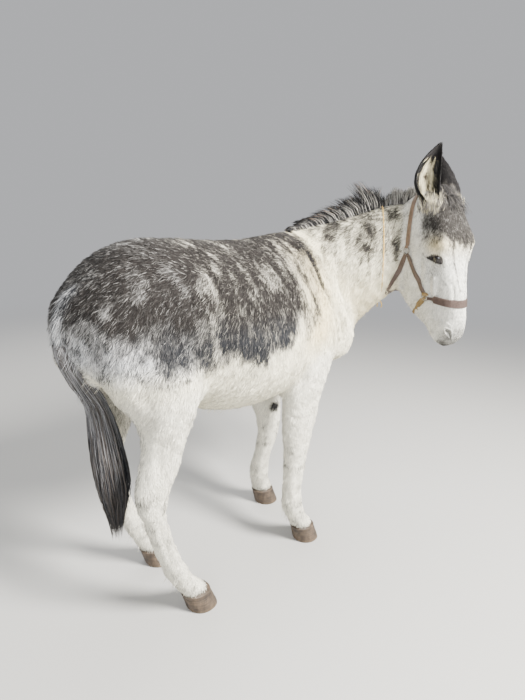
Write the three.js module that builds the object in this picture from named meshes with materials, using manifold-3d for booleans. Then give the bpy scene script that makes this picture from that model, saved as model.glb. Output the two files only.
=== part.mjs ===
// A grey donkey standing at rest with its head turned to its right, life size, in millimetres.
// It wears a headcollar and a thin cord round its neck. +X is forward, +Y the donkey's left and
// +Z up, and the hooves stand on z = 0.
import * as THREE from "three";
import { mergeVertices } from "three/addons/utils/BufferGeometryUtils.js";
import Module from "manifold-3d";

const wasm = await Module();
wasm.setup();

// ---------------------------------------------------------------- driving dimensions

const GAP = 0.45; // kept between bodies that touch
const STRAP_THICK = 3.2;
const CROWN_STRAP_WIDE = 26;
const CHEEK_STRAP_WIDE = 22;
const THROAT_STRAP_WIDE = 20;
const NOSEBAND_WIDE = 34;
const CHIN_STRAP_WIDE = 18;
const RING_RADIUS = 13;
const RING_WIRE = 2.6;
const RING_CLEAR = 8; // from the side of the head to the middle of a ring
const CORD_RADIUS = 3.2;
const CORD_LIFT = 2.6; // of the cord off the faceted neck
const CORD_OVER_MANE = 14; // further lift where it crosses the mane
const CORD_PLACE = 0.714; // along the neck, from the withers to the poll
const EYE_RADIUS = 24;
const EAR_LONG = 216;
const EAR_THICK = 7;
const EAR_BOW_RIGHT = -34; // of the right ear's middle, along the way out of the forehead
const MANE_HALF_WIDE = 15;
const [MANE_START, MANE_END] = [0.14, 0.93]; // along the neck, from the withers to the poll
const KNEE_CUT = 3; // where a foreleg is parted, counted in joints from the shoulder
const HOCK_CUT = 4; // where a hind leg is parted, counted in joints from the hip
const HOOF_HIGH = 75;

// The head hangs from this point between the ears, turned from straight ahead.
const HEAD_AT = new THREE.Vector3(634, -469, 1370);
const HEAD_TURN = -88; // about the vertical, in degrees
const HEAD_HANG = 78; // of the face below level
const HEAD_ROLL = 9; // about the face's own length

// Joints of each leg: shoulder, elbow, forearm, knee, fetlock and top of the hoof, or hip, thigh,
// stifle, gaskin, hock, cannon, fetlock and top of the hoof. Y is out from the body's middle.
const NEAR_FORE = [
  [300, 118, 940],
  [245, 140, 730],
  [232, 140, 560],
  [216, 140, 387],
  [203, 145, 192],
  [263, 150, HOOF_HIGH],
];
const FAR_FORE = [
  [300, 118, 940],
  [275, 138, 730],
  [318, 126, 560],
  [340, 113, 387],
  [318, 143, 196],
  [355, 158, HOOF_HIGH],
];
const NEAR_HIND = [
  [-430, 96, 1115],
  [-406, 125, 840],
  [-403, 155, 710],
  [-424, 162, 605],
  [-466, 172, 503],
  [-446, 169, 385],
  [-368, 152, 190],
  [-290, 140, HOOF_HIGH],
];
const FAR_HIND = [
  [-430, 96, 1115],
  [-406, 125, 840],
  [-395, 150, 710],
  [-388, 158, 605],
  [-410, 160, 505],
  [-390, 158, 385],
  [-320, 155, 193],
  [-255, 150, HOOF_HIGH],
];

// ---------------------------------------------------------------- solids and lofts

const toRadians = THREE.MathUtils.degToRad;
const spot = (x, y, z) => new THREE.Vector3(x, y, z);

/** The geometry's bare corners, each shared by the faces that meet there, facing out. */
function bareMesh(geometry) {
  const bare = geometry.clone();
  bare.deleteAttribute("normal");
  bare.deleteAttribute("uv");
  const mesh = mergeVertices(bare, 1e-3);
  const corners = mesh.getAttribute("position");
  const faces = mesh.index.array;
  const [a, b, c] = [spot(0, 0, 0), spot(0, 0, 0), spot(0, 0, 0)];
  let volume = 0;
  for (let i = 0; i < faces.length; i += 3) {
    a.fromBufferAttribute(corners, faces[i]);
    b.fromBufferAttribute(corners, faces[i + 1]);
    c.fromBufferAttribute(corners, faces[i + 2]);
    volume += a.dot(b.cross(c));
  }
  for (let i = 0; volume < 0 && i < faces.length; i += 3) {
    [faces[i + 1], faces[i + 2]] = [faces[i + 2], faces[i + 1]];
  }
  return mesh;
}

/** A closed geometry as a solid, grown outwards along its own normals. */
function solid(geometry, grow = 0) {
  const mesh = bareMesh(geometry);
  mesh.computeVertexNormals();
  const normals = mesh.getAttribute("normal").array;
  const vertProperties = mesh.getAttribute("position").array.map((v, i) => v + grow * normals[i]);
  const triVerts = new Uint32Array(mesh.index.array);
  return new wasm.Manifold(new wasm.Mesh({ numProp: 3, vertProperties, triVerts }));
}

/** The largest separate body of a solid. */
function mainBody(whole) {
  return whole.decompose().reduce((best, body) => (body.volume() > best.volume() ? body : best));
}

/** What is left of a solid when the others are taken away. */
function without(whole, ...others) {
  return mainBody(others.reduce((left, other) => left.subtract(other), whole));
}

/** A smooth curve through rows of [place, size, size, ...]: gives the sizes at any place. */
function through(rows) {
  const sizes = rows.flatMap((row) => row.slice(1));
  const places = rows.map((row) => row[0]);
  const width = rows[0].length - 1;
  const curve = new THREE.CubicInterpolant(places, sizes, width, new Float64Array(width));
  return (place) => [...curve.evaluate(THREE.MathUtils.clamp(place, places[0], places.at(-1)))];
}

/** A closed skin over rings: ringAt(t, turn) is its point t of the way along and turn round. */
function loft(ringAt, rings, sides) {
  const geometry = new THREE.CylinderGeometry(1, 1, 1, sides, rings);
  const at = geometry.getAttribute("position");
  for (let i = 0; i < at.count; i += 1) {
    const t = 0.5 - at.getY(i);
    const turn = Math.atan2(at.getX(i), at.getZ(i));
    const inCapMiddle = Math.hypot(at.getX(i), at.getZ(i)) < 0.5;
    const point = inCapMiddle
      ? ringAt(t, 0).lerp(ringAt(t, Math.PI), 0.5)
      : ringAt(t, turn);
    at.setXYZ(i, point.x, point.y, point.z);
  }
  return geometry;
}

/** Places from 0 to 1 that lie closer together towards both ends, where a form rounds off. */
function easedEnds(t, share) {
  return THREE.MathUtils.lerp(t, (1 - Math.cos(Math.PI * t)) / 2, share);
}

/** Across and up on an oval. A fullness of 2 is an ellipse, and more is squarer. */
function oval(turn, half, above, below, fullAbove = 2, fullBelow = 2) {
  const [side, height] = [Math.cos(turn), Math.sin(turn)];
  const full = height > 0 ? fullAbove : fullBelow;
  const rounded = (v) => Math.sign(v) * Math.abs(v) ** (2 / full);
  return [half * rounded(side), (height > 0 ? above : below) * rounded(height)];
}

/** Moves a point away from the middle of its ring, under each swelling [x, y, z, reach, by]. */
function swell(point, middle, swellings) {
  const out = point.clone().sub(middle).normalize();
  const by = swellings.reduce((sum, [x, y, z, reach, height]) => {
    const far = point.distanceTo(spot(x, y, z)) / reach;
    return sum + height * Math.exp(-far * far);
  }, 0);
  return point.addScaledVector(out, by);
}

/** The same swellings on both sides of the middle. */
function bothSides(swellings) {
  return swellings.flatMap(([x, y, ...rest]) => (y === 0 ? [[x, y, ...rest]] : [
    [x, y, ...rest],
    [x, -y, ...rest],
  ]));
}

// ---------------------------------------------------------------- trunk, neck and head

// Along x: top, underside, half width, height of the widest place, fullness above and below.
const TRUNK_SIZES = through([
  [-624, 1030, 945, 44, 988, 2, 2],
  [-609, 1056, 898, 102, 988, 2, 2],
  [-576, 1092, 856, 152, 990, 2, 2.1],
  [-515, 1156, 810, 192, 998, 2.1, 2.2],
  [-413, 1211, 760, 218, 1000, 2.1, 2.2],
  [-300, 1219, 706, 232, 970, 2.05, 2.2],
  [-170, 1213, 648, 248, 920, 2, 2.25],
  [-50, 1207, 623, 254, 895, 2, 2.25],
  [70, 1210, 623, 246, 890, 1.95, 2.25],
  [180, 1224, 640, 226, 890, 1.85, 2.3],
  [281, 1232, 674, 208, 900, 1.8, 2.4],
  [370, 1200, 698, 200, 905, 1.9, 2.6],
  [450, 1120, 710, 186, 895, 2, 2.7],
  [515, 1030, 718, 164, 870, 2, 2.7],
  [560, 950, 736, 126, 840, 2, 2.4],
  [585, 900, 760, 80, 825, 2, 2.2],
  [597, 860, 790, 22, 822, 2, 2],
]);
const TRUNK_SWELLINGS = bothSides([
  [-330, 185, 1145, 70, 10], // point of the hip
  [420, 140, 890, 90, 10], // point of the shoulder
  [500, 140, 765, 80, 24], // breast
  [-150, 230, 680, 130, -10], // hollow before the stifle
]);

function trunkGeometry() {
  const [rear, front] = [-624, 597];
  return loft((t, turn) => {
    const x = THREE.MathUtils.lerp(rear, front, easedEnds(t, 0.55));
    const [top, bottom, half, widest, fullAbove, fullBelow] = TRUNK_SIZES(x);
    const [y, z] = oval(turn, half, top - widest, widest - bottom, fullAbove, fullBelow);
    return swell(spot(x, y, widest + z), spot(x, 0, widest), TRUNK_SWELLINGS);
  }, 23, 20);
}

const CREST_LINE = new THREE.CatmullRomCurve3([
  spot(170, 0, 1190),
  spot(281, -2, 1232),
  spot(340, -18, 1247),
  spot(400, -46, 1262),
  spot(505, -133, 1300),
  spot(572, -216, 1336),
  spot(628, -280, 1350),
  spot(652, -345, 1352),
]);
const THROAT_LINE = new THREE.CatmullRomCurve3([
  spot(330, 0, 690),
  spot(520, -25, 765),
  spot(578, -72, 815),
  spot(585, -122, 848),
  spot(575, -188, 909),
  spot(592, -230, 952),
  spot(628, -262, 992),
  spot(660, -300, 1066),
]);
// From the withers to the poll: half width, fullness of the crest and of the throat.
const NECK_SIZES = through([
  [0, 170, 1.7, 2.2],
  [0.14, 164, 1.7, 2.1],
  [0.29, 146, 1.7, 2.1],
  [0.43, 120, 1.75, 2],
  [0.57, 96, 1.8, 2],
  [0.71, 78, 1.85, 2],
  [0.86, 62, 1.9, 2],
  [1, 52, 2, 2],
]);
const NECK_MIDDLE = 0.44; // of the way from crest to throat

function neckRing(t, turn) {
  const place = THREE.MathUtils.clamp(t, 0, 1);
  const middleAt = (s) => CREST_LINE.getPoint(s).lerp(THROAT_LINE.getPoint(s), NECK_MIDDLE);
  const crest = CREST_LINE.getPoint(place);
  const throat = THROAT_LINE.getPoint(place);
  const middle = middleAt(place);
  const ahead = middleAt(Math.min(place + 0.02, 1)).sub(middleAt(Math.max(place - 0.02, 0)));
  const up = crest.clone().sub(throat).normalize();
  const left = up.clone().cross(ahead).normalize();
  const [half, fullCrest, fullThroat] = NECK_SIZES(place);
  const [across, rise] = oval(
    turn,
    half,
    crest.distanceTo(middle),
    throat.distanceTo(middle),
    fullCrest,
    fullThroat,
  );
  return middle.addScaledVector(left, across).addScaledVector(up, rise);
}

const neckGeometry = () => loft(neckRing, 14, 16);

// The head's own frame has X down the face from between the ears, Y to its left and Z forward
// out of the forehead.
const HEAD_POSE = new THREE.Matrix4()
  .makeRotationFromEuler(
    new THREE.Euler(toRadians(HEAD_ROLL), toRadians(HEAD_HANG), toRadians(HEAD_TURN), "ZYX"),
  )
  .setPosition(HEAD_AT);
const onHead = (x, y, z) => spot(x, y, z).applyMatrix4(HEAD_POSE);

// Down the face: forehead, jaw, half width, depth of the widest place, fullness of face and jaw.
const HEAD_SIZES = through([
  [-42, -56, -125, 38, -92, 2, 2],
  [-15, -24, -190, 66, -84, 2.2, 2],
  [30, 2, -225, 84, -68, 2.5, 2],
  [80, 16, -250, 94, -54, 2.9, 1.9],
  [135, 23, -266, 102, -42, 3.2, 1.85],
  [175, 20, -276, 104, -38, 3.2, 1.85],
  [205, 12, -282, 99, -42, 2.9, 1.85],
  [240, 5, -284, 87, -48, 2.6, 1.9],
  [290, 4, -278, 74, -54, 2.5, 1.95],
  [340, 4, -260, 63, -58, 2.4, 2],
  [390, 2, -228, 54, -62, 2.4, 2],
  [430, 0, -194, 50, -66, 2.3, 2],
  [455, -5, -162, 49, -68, 2.3, 2.1],
  [485, -12, -146, 50, -72, 2.2, 2.2],
  [514, -28, -126, 47, -78, 2.1, 2.2],
  [532, -48, -108, 34, -80, 2, 2],
  [541, -66, -94, 15, -82, 2, 2],
]);
const HEAD_SWELLINGS = bothSides([
  [172, 96, -4, 34, 13], // brow over the eye
  [212, 100, -38, 20, -5], // hollow that the eye sits in
  [250, 68, -170, 55, 6], // cheek muscle
  [285, 70, -76, 36, 5], // facial crest
  [486, 42, -48, 20, 8], // nostril
  [496, 18, -128, 22, 5], // lower lip and chin
  [90, 66, 2, 34, -5], // temple
]);

function headGeometry() {
  const [poll, lips] = [-42, 540];
  return loft((t, turn) => {
    const x = THREE.MathUtils.lerp(poll, lips, easedEnds(t, 0.35));
    const [face, jaw, half, widest, fullFace, fullJaw] = HEAD_SIZES(x);
    const [y, z] = oval(turn, half, face - widest, widest - jaw, fullFace, fullJaw);
    return swell(spot(x, y, widest + z), spot(x, 0, widest), HEAD_SWELLINGS);
  }, 23, 20).applyMatrix4(HEAD_POSE);
}

// ---------------------------------------------------------------- legs and hooves

// Counted in joints from the body: reach forward, reach back and half width.
const FORE_SIZES = through([
  [0, 105, 120, 62],
  [0.5, 136, 112, 68],
  [1, 146, 98, 68],
  [1.25, 122, 96, 65],
  [1.5, 98, 92, 60],
  [2, 82, 86, 55],
  [2.5, 68, 72, 48],
  [2.8, 57, 58, 45],
  [3, 54, 56, 44],
  [3.2, 47, 49, 40],
  [3.5, 39, 42, 36],
  [3.8, 39, 42, 37],
  [4, 44, 46, 42],
  [4.4, 42, 42, 38],
  [5, 52, 46, 44],
]);
const HIND_SIZES = through([
  [0, 110, 130, 64],
  [0.5, 165, 185, 100],
  [1, 164, 168, 115],
  [1.5, 128, 122, 96],
  [2, 88, 86, 70],
  [2.5, 70, 70, 55],
  [3, 68, 69, 48],
  [3.5, 64, 68, 44],
  [4, 56, 60, 42],
  [4.3, 44, 48, 38],
  [4.6, 34, 36, 35],
  [5, 34, 35, 34],
  [5.7, 36, 36, 34],
  [6, 39, 42, 39],
  [6.4, 40, 40, 37],
  [7, 54, 46, 45],
]);
const LEG_FULLNESS = 2.2;

/** A stretch of a leg between two joints, in level rings. Side is -1 for its right. */
function legGeometry(joints, sizes, side, from, to, rings, sides) {
  const spine = through(joints.map((joint, i) => [i, ...joint]));
  return loft((t, turn) => {
    const place = THREE.MathUtils.lerp(from, to, t);
    const [x, out, z] = spine(place);
    const [forward, back, half] = sizes(place);
    const [across, along] = oval(turn, half, forward, back, LEG_FULLNESS, LEG_FULLNESS);
    return spot(x + along, side * out + across, z);
  }, rings, sides);
}

/** A hoof under the last joint of a leg: a slanting wall down to a flat sole. */
function hoofGeometry(joints, sizes, side) {
  const [forward, back, half] = sizes(joints.length - 1);
  const [x, out] = joints.at(-1);
  const toeSlope = 26;
  const flare = 1.16;
  return loft((t, turn) => {
    const spread = THREE.MathUtils.lerp(1.02, flare, t);
    const [across, along] = oval(turn, half * spread, forward * spread, back, 2.1, 2.5);
    const height = THREE.MathUtils.lerp(HOOF_HIGH - GAP, 0, t);
    return spot(x + along + toeSlope * t, side * out + across, height);
  }, 2, 14);
}

// ---------------------------------------------------------------- ears, eyes, mane and tail

// Along an ear from root to tip: half angle of its scroll in degrees, its radius, and its bow
// back from a straight line.
const EAR_SIZES = through([
  [0, 150, 24, 0],
  [0.15, 138, 33, 2],
  [0.35, 106, 42, 8],
  [0.6, 88, 42, 12],
  [0.8, 72, 32, 10],
  [0.93, 60, 18, 4],
  [1, 52, 6, 0],
]);

/** A scrolled leaf, rooted at a place on the head, rising along one way and open to another. */
function earGeometry(root, rise, open, bend) {
  const up = rise.clone().normalize();
  const front = open.clone().addScaledVector(up, -open.dot(up)).normalize();
  const side = up.clone().cross(front);
  return loft((t, turn) => {
    const [halfAngle, radius, bow] = EAR_SIZES(t);
    const onOuter = turn >= 0;
    const share = onOuter ? 1 - (2 * turn) / Math.PI : 1 + (2 * turn) / Math.PI;
    const angle = toRadians(halfAngle) * share;
    const wall = Math.min(EAR_THICK, radius * 0.6) * Math.sqrt(1 - share ** 6);
    const reach = radius + (onOuter ? wall / 2 : -wall / 2);
    return root.clone()
      .addScaledVector(up, EAR_LONG * t)
      .addScaledVector(bend, Math.sin(Math.PI * t))
      .addScaledVector(side, reach * Math.sin(angle))
      .addScaledVector(front, radius * 0.5 - reach * Math.cos(angle) - bow);
  }, 10, 12);
}

const EYE_AT = { along: 210, out: 80, depth: -36 };

function eyeGeometry(side) {
  const ball = new THREE.SphereGeometry(EYE_RADIUS, 9, 6);
  const { along, out, depth } = EYE_AT;
  const middle = onHead(along, side * out, depth);
  return ball.translate(middle.x, middle.y, middle.z);
}

// Along the crest from withers to poll: how high the mane stands, and its thickness. The cord
// pinches it down.
const MANE_SIZES = through([
  [MANE_START, 5, 0.5],
  [0.26, 26, 0.8],
  [0.38, 40, 0.9],
  [0.5, 58, 1],
  [0.59, 86, 1],
  [0.65, 112, 1.1],
  [0.68, 92, 1],
  [CORD_PLACE, 12, 0.8],
  [0.745, 44, 0.9],
  [0.79, 62, 1],
  [0.86, 68, 1],
  [MANE_END, 56, 0.9],
]);

function maneGeometry() {
  const sunk = 14;
  return loft((t, turn) => {
    const place = THREE.MathUtils.lerp(MANE_START, MANE_END, t);
    const [high, thick] = MANE_SIZES(place);
    const crest = neckRing(place, Math.PI / 2);
    const up = crest.clone().sub(neckRing(place, -Math.PI / 2)).normalize();
    const left = neckRing(place, 0).sub(neckRing(place, Math.PI)).normalize();
    const [across, rise] = oval(turn, MANE_HALF_WIDE * thick, high, sunk, 1.5, 2);
    return crest.addScaledVector(left, across).addScaledVector(up, rise);
  }, 26, 6);
}

// Down the tail: the middle's x, y and z, then reach fore and aft and half width.
const DOCK_SIZES = through([
  [0, -546, 0, 1088, 30, 32],
  [0.15, -586, 0, 1054, 33, 33],
  [0.35, -610, 0, 990, 31, 32],
  [0.6, -593, -1, 900, 28, 29],
  [0.8, -562, -2, 828, 26, 27],
  [1, -532, -4, 755, 24, 25],
]);
const SWITCH_SIZES = through([
  [0, -538, -4, 772, 20, 20],
  [0.15, -526, -9, 722, 34, 34],
  [0.45, -509, -18, 600, 49, 48],
  [0.75, -497, -21, 470, 49, 48],
  [0.93, -491, -20, 375, 35, 36],
  [1, -490, -18, 335, 12, 14],
]);

/** A stretch of the tail in rings square to its own run. */
function tailGeometry(sizes, rings, sides) {
  const middleAt = (t) => spot(...sizes(t).slice(0, 3));
  return loft((t, turn) => {
    const down = middleAt(Math.min(t + 0.03, 1)).sub(middleAt(Math.max(t - 0.03, 0)));
    const left = spot(0, 1, 0);
    const back = down.clone().cross(left).normalize();
    const [, , , deep, half] = sizes(t);
    const [across, rise] = oval(turn, half, deep, deep);
    return middleAt(t).addScaledVector(left, across).addScaledVector(back, rise);
  }, rings, sides);
}

// ---------------------------------------------------------------- headcollar and neck cord

const HEAD_ROOM = 150; // out to either side from the middle of the head
const BESIDE_HEAD = 30; // where a strap on one side alone begins

// Places on the head's own frame, seen from its side.
const UPPER_RING = spot(168, 0, -157);
const CHEEK_RING = spot(345, 0, -116);
const POLL = spot(-50, 0, -112);
const NOSE_FRONT = spot(398, 0, 34);
const UNDER_THROAT = spot(344, 0, -298);
const UNDER_CHIN = spot(420, 0, -228);

/** A box whose middle plane holds two places on the head, seen from its side. */
function slab(from, to, wide, [yFrom, yTo] = [-HEAD_ROOM, HEAD_ROOM]) {
  const [flatFrom, flatTo] = [spot(from.x, 0, from.z), spot(to.x, 0, to.z)];
  const run = flatTo.clone().sub(flatFrom).normalize();
  const left = spot(0, 1, 0);
  const length = flatFrom.distanceTo(flatTo);
  const box = new THREE.BoxGeometry(length, yTo - yFrom, wide);
  box.translate(length / 2, (yFrom + yTo) / 2, 0);
  const turnTo = new THREE.Matrix4().makeBasis(run, left, run.clone().cross(left));
  return solid(box.applyMatrix4(turnTo.setPosition(flatFrom)).applyMatrix4(HEAD_POSE));
}

/** How far out the side of the head is, at a place seen from its side. */
function sideOfHead(x, z) {
  const [face, jaw, half, widest, fullFace, fullJaw] = HEAD_SIZES(x);
  const [share, full] = z > widest
    ? [(z - widest) / (face - widest), fullFace]
    : [(widest - z) / (widest - jaw), fullJaw];
  return half * (1 - share ** full) ** (1 / full);
}

/** A round ring lying on the side of the head, over the straps that end at it. */
function ringGeometry({ x, z }, side) {
  const torus = new THREE.TorusGeometry(RING_RADIUS, RING_WIRE, 5, 12);
  const reach = RING_RADIUS;
  const lean = Math.atan2(sideOfHead(x, z + reach) - sideOfHead(x, z - reach), 2 * reach);
  const out = sideOfHead(x, z) + RING_CLEAR;
  const flat = new THREE.Matrix4().makeRotationX(side * (Math.PI / 2 + lean));
  return torus.applyMatrix4(flat.setPosition(x, side * out, z)).applyMatrix4(HEAD_POSE);
}

/** The cord round the neck, over the mane, with its two ends meeting in a knot at the throat. */
function cordGeometry() {
  const steps = 24;
  const slack = 0.12;
  const manePart = 0.3;
  const middle = neckRing(CORD_PLACE, 0).lerp(neckRing(CORD_PLACE, Math.PI), 0.5);
  const points = Array.from({ length: steps + 1 }, (_, i) => {
    const turn = -Math.PI / 2 + slack / 2 + ((2 * Math.PI - slack) * i) / steps;
    const point = neckRing(CORD_PLACE, turn);
    const out = point.clone().sub(middle).normalize();
    const fromCrest = (turn - Math.PI / 2) / manePart;
    const overMane = CORD_OVER_MANE * Math.exp(-fromCrest * fromCrest);
    return point.addScaledVector(out, CORD_RADIUS + CORD_LIFT + overMane);
  });
  const section = new THREE.Shape().absarc(0, 0, CORD_RADIUS, 0, 2 * Math.PI);
  return new THREE.ExtrudeGeometry(section, {
    curveSegments: 3,
    steps: 32,
    extrudePath: new THREE.CatmullRomCurve3(points),
  });
}

// ---------------------------------------------------------------- the donkey

const COLOURS = {
  coat: [0x8f8d8a, 0.9],
  pale: [0xcfc9bd, 0.9],
  dark: [0x3a3836, 0.85],
  ear: [0x5c5650, 0.9],
  eye: [0x17120f, 0.15],
  hoof: [0x3b342d, 0.7],
  leather: [0x7a4f33, 0.6],
  tan: [0xa9805a, 0.7],
  webbing: [0x7a5b57, 0.85],
  steel: [0xb9b9b4, 0.35, 0.9],
  twine: [0xc79a3f, 0.8],
};

const beast = new THREE.Group();

function addNode(name, body, colour) {
  const mesh = body.getMesh();
  const geometry = new THREE.BufferGeometry();
  geometry.setAttribute("position", new THREE.BufferAttribute(mesh.vertProperties, 3));
  geometry.setIndex(new THREE.BufferAttribute(mesh.triVerts, 1));
  geometry.computeVertexNormals();
  const [color, roughness, metalness = 0] = COLOURS[colour];
  const material = new THREE.MeshStandardMaterial({ color, roughness, metalness });
  const node = new THREE.Mesh(geometry, material);
  node.name = name;
  beast.add(node);
}

const trunk = trunkGeometry();
const neck = neckGeometry();
const head = headGeometry();
const [trunkRoom, neckRoom, headRoom] = [trunk, neck, head].map((form) => solid(form, GAP));
const eyeRoom = (side) => solid(eyeGeometry(side), GAP);

// Every strap is a stretch of one thin skin over the head, between two places seen from its side.
const strapSkin = solid(head, GAP + STRAP_THICK).subtract(headRoom);
const strapRoom = solid(head, 2 * GAP + STRAP_THICK);
function strap(from, to, wide, sides) {
  const band = strapSkin.intersect(slab(from, to, wide, sides));
  const room = slab(from, to, wide + 2 * GAP, sides).intersect(strapRoom);
  return { band, room };
}
const crown = strap(UPPER_RING, POLL, CROWN_STRAP_WIDE);
const nose = strap(CHEEK_RING, NOSE_FRONT, NOSEBAND_WIDE);
const cheeks = strap(UPPER_RING, CHEEK_RING, CHEEK_STRAP_WIDE);
const throat = strap(UPPER_RING, UNDER_THROAT, THROAT_STRAP_WIDE);
const chin = strap(CHEEK_RING, UNDER_CHIN, CHIN_STRAP_WIDE);
addNode("crown_strap", mainBody(crown.band), "tan");
addNode("noseband", mainBody(nose.band), "webbing");
addNode("throat_strap", without(throat.band, crown.room, cheeks.room), "leather");
addNode("chin_strap", without(chin.band, nose.room, cheeks.room), "twine");

const SIDES = [["left", 1], ["right", -1]];
for (const [name, side] of SIDES) {
  const beside = side > 0 ? [BESIDE_HEAD, HEAD_ROOM] : [-HEAD_ROOM, -BESIDE_HEAD];
  const cheek = strap(UPPER_RING, CHEEK_RING, CHEEK_STRAP_WIDE, beside);
  addNode(`cheek_strap_${name}`, without(cheek.band, crown.room, nose.room), "leather");
  for (const [ring, place] of [["upper_ring", UPPER_RING], ["cheek_ring", CHEEK_RING]]) {
    addNode(`${ring}_${name}`, without(solid(ringGeometry(place, side)), strapRoom), "steel");
  }
}

const cord = cordGeometry();
addNode("neck_cord", solid(cord), "twine");

addNode("trunk", solid(trunk), "coat");
addNode("neck", without(solid(neck), trunkRoom, headRoom, crown.room, throat.room), "coat");
addNode("head", without(solid(head), eyeRoom(1), eyeRoom(-1)), "pale");
const maneRoom = [neckRoom, trunkRoom, headRoom, crown.room, solid(cord, GAP)];
addNode("mane", without(solid(maneGeometry()), ...maneRoom), "dark");

for (const [name, side] of SIDES) {
  addNode(`eye_${name}`, solid(eyeGeometry(side)), "eye");
}

const alongHead = (x, y, z) => spot(x, y, z).transformDirection(HEAD_POSE);
const EARS = [
  ["right", onHead(28, -58, -64), alongHead(-202, -2, 62), spot(-0.7, -0.7, 0)],
  ["left", onHead(26, 50, -54), alongHead(-203, 4, -30), spot(0.75, -0.5, 0)],
];
for (const [name, root, rise, open] of EARS) {
  const bend = alongHead(0, 0, 1).multiplyScalar(name === "right" ? EAR_BOW_RIGHT : 0);
  const ear = solid(earGeometry(root, rise, open, bend));
  addNode(`ear_${name}`, without(ear, headRoom, neckRoom, crown.room), "ear");
}

const dock = tailGeometry(DOCK_SIZES, 8, 10);
const dockRoom = solid(dock, GAP);
const tailSwitch = tailGeometry(SWITCH_SIZES, 8, 10);
addNode("tail_dock", without(solid(dock), trunkRoom), "coat");
addNode("tail_switch", without(solid(tailSwitch), dockRoom), "dark");

const LEGS = [
  ["foreleg_right", NEAR_FORE, FORE_SIZES, -1, KNEE_CUT],
  ["foreleg_left", FAR_FORE, FORE_SIZES, 1, KNEE_CUT],
  ["hindleg_right", NEAR_HIND, HIND_SIZES, -1, HOCK_CUT],
  ["hindleg_left", FAR_HIND, HIND_SIZES, 1, HOCK_CUT],
];
for (const [name, joints, sizes, side, cut] of LEGS) {
  const last = joints.length - 1;
  const gapShare = GAP / (joints[cut][2] - joints[cut + 1][2]);
  const upper = solid(legGeometry(joints, sizes, side, 0, cut, 9, 14));
  const lower = solid(legGeometry(joints, sizes, side, cut + gapShare, last, 9, 12));
  addNode(`${name}_upper`, without(upper, trunkRoom, dockRoom), "pale");
  addNode(`${name}_lower`, lower, "pale");
  addNode(name.replace("leg", "hoof"), solid(hoofGeometry(joints, sizes, side)), "hoof");
}

// ---------------------------------------------------------------- origin

const box = new THREE.Box3().setFromObject(beast);
const middle = box.getCenter(spot(0, 0, 0));
beast.position.set(-middle.x, -middle.y, 0);
const donkey = new THREE.Group();
donkey.add(beast);

export default donkey;
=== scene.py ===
"""A life-size model of a grey donkey with its head turned, in a headcollar and a twine collar.

Lengths in BODY and HEAD coordinates are in millimetres. BODY is the source's own frame: X forward,
Y to the donkey's left, Z up. HEAD has X down the face, Y to the left and Z out of the forehead.
"""

import math

import bmesh
import bpy
import numpy as np
from mathutils import Euler, Matrix, Vector
from mathutils.bvhtree import BVHTree


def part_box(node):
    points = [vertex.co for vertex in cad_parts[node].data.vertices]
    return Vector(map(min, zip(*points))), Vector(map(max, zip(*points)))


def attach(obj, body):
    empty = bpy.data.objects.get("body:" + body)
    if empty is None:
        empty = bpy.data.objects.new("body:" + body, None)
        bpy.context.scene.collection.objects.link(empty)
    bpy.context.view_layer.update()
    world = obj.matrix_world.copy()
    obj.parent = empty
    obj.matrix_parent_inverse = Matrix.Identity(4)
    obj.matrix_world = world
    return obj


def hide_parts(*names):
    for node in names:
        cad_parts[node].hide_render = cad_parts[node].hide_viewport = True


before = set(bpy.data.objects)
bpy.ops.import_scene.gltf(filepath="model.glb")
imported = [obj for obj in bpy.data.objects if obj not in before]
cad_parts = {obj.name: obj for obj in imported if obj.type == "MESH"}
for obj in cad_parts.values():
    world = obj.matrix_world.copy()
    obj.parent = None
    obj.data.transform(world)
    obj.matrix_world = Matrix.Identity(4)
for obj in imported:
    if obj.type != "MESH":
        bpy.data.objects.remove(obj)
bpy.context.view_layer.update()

rng = np.random.default_rng(20)

# ------------------------------------------------------------------ coordinates

HOOF_MIDDLE = np.array([282.9, -150.0])  # of the right forehoof, in BODY
low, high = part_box("forehoof_right")
OFFSET = np.array([(low.x + high.x) / 2, (low.y + high.y) / 2, 0.0])
OFFSET[:2] -= HOOF_MIDDLE / 1000
HEAD_AT = np.array([634.0, -469.0, 1370.0])
HEAD_TURN = Euler((math.radians(9), math.radians(78), math.radians(-88)), "XYZ").to_matrix()
HEAD_AXES = np.array(HEAD_TURN)


def to_frame(body):
    """From BODY millimetres to metres in the frame."""
    return np.asarray(body, float) / 1000 + OFFSET


def to_body(metres):
    return (np.asarray(metres, float) - OFFSET) * 1000


def head_of(body):
    return (body - HEAD_AT) @ HEAD_AXES


def body_of_head(head):
    return np.asarray(head, float) @ HEAD_AXES.T + HEAD_AT


def on_left(places):
    """Places in BODY or HEAD, with those on the right mirrored to the left."""
    return places * [1, 0, 1] + np.abs(places * [0, 1, 0])


SIDES = (("left", 1), ("right", -1))


# ------------------------------------------------------------------ camera and studio

CAMERA_AT = np.array([-1233.0, -1290.0, 1304.0])
YAW, PITCH, ROLL = (math.radians(v) for v in (42.73, 15.08, 1.7))
FOCAL_SHARE = 522.1 / 700  # focal length over the picture's long side
SENSOR = 36


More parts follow.
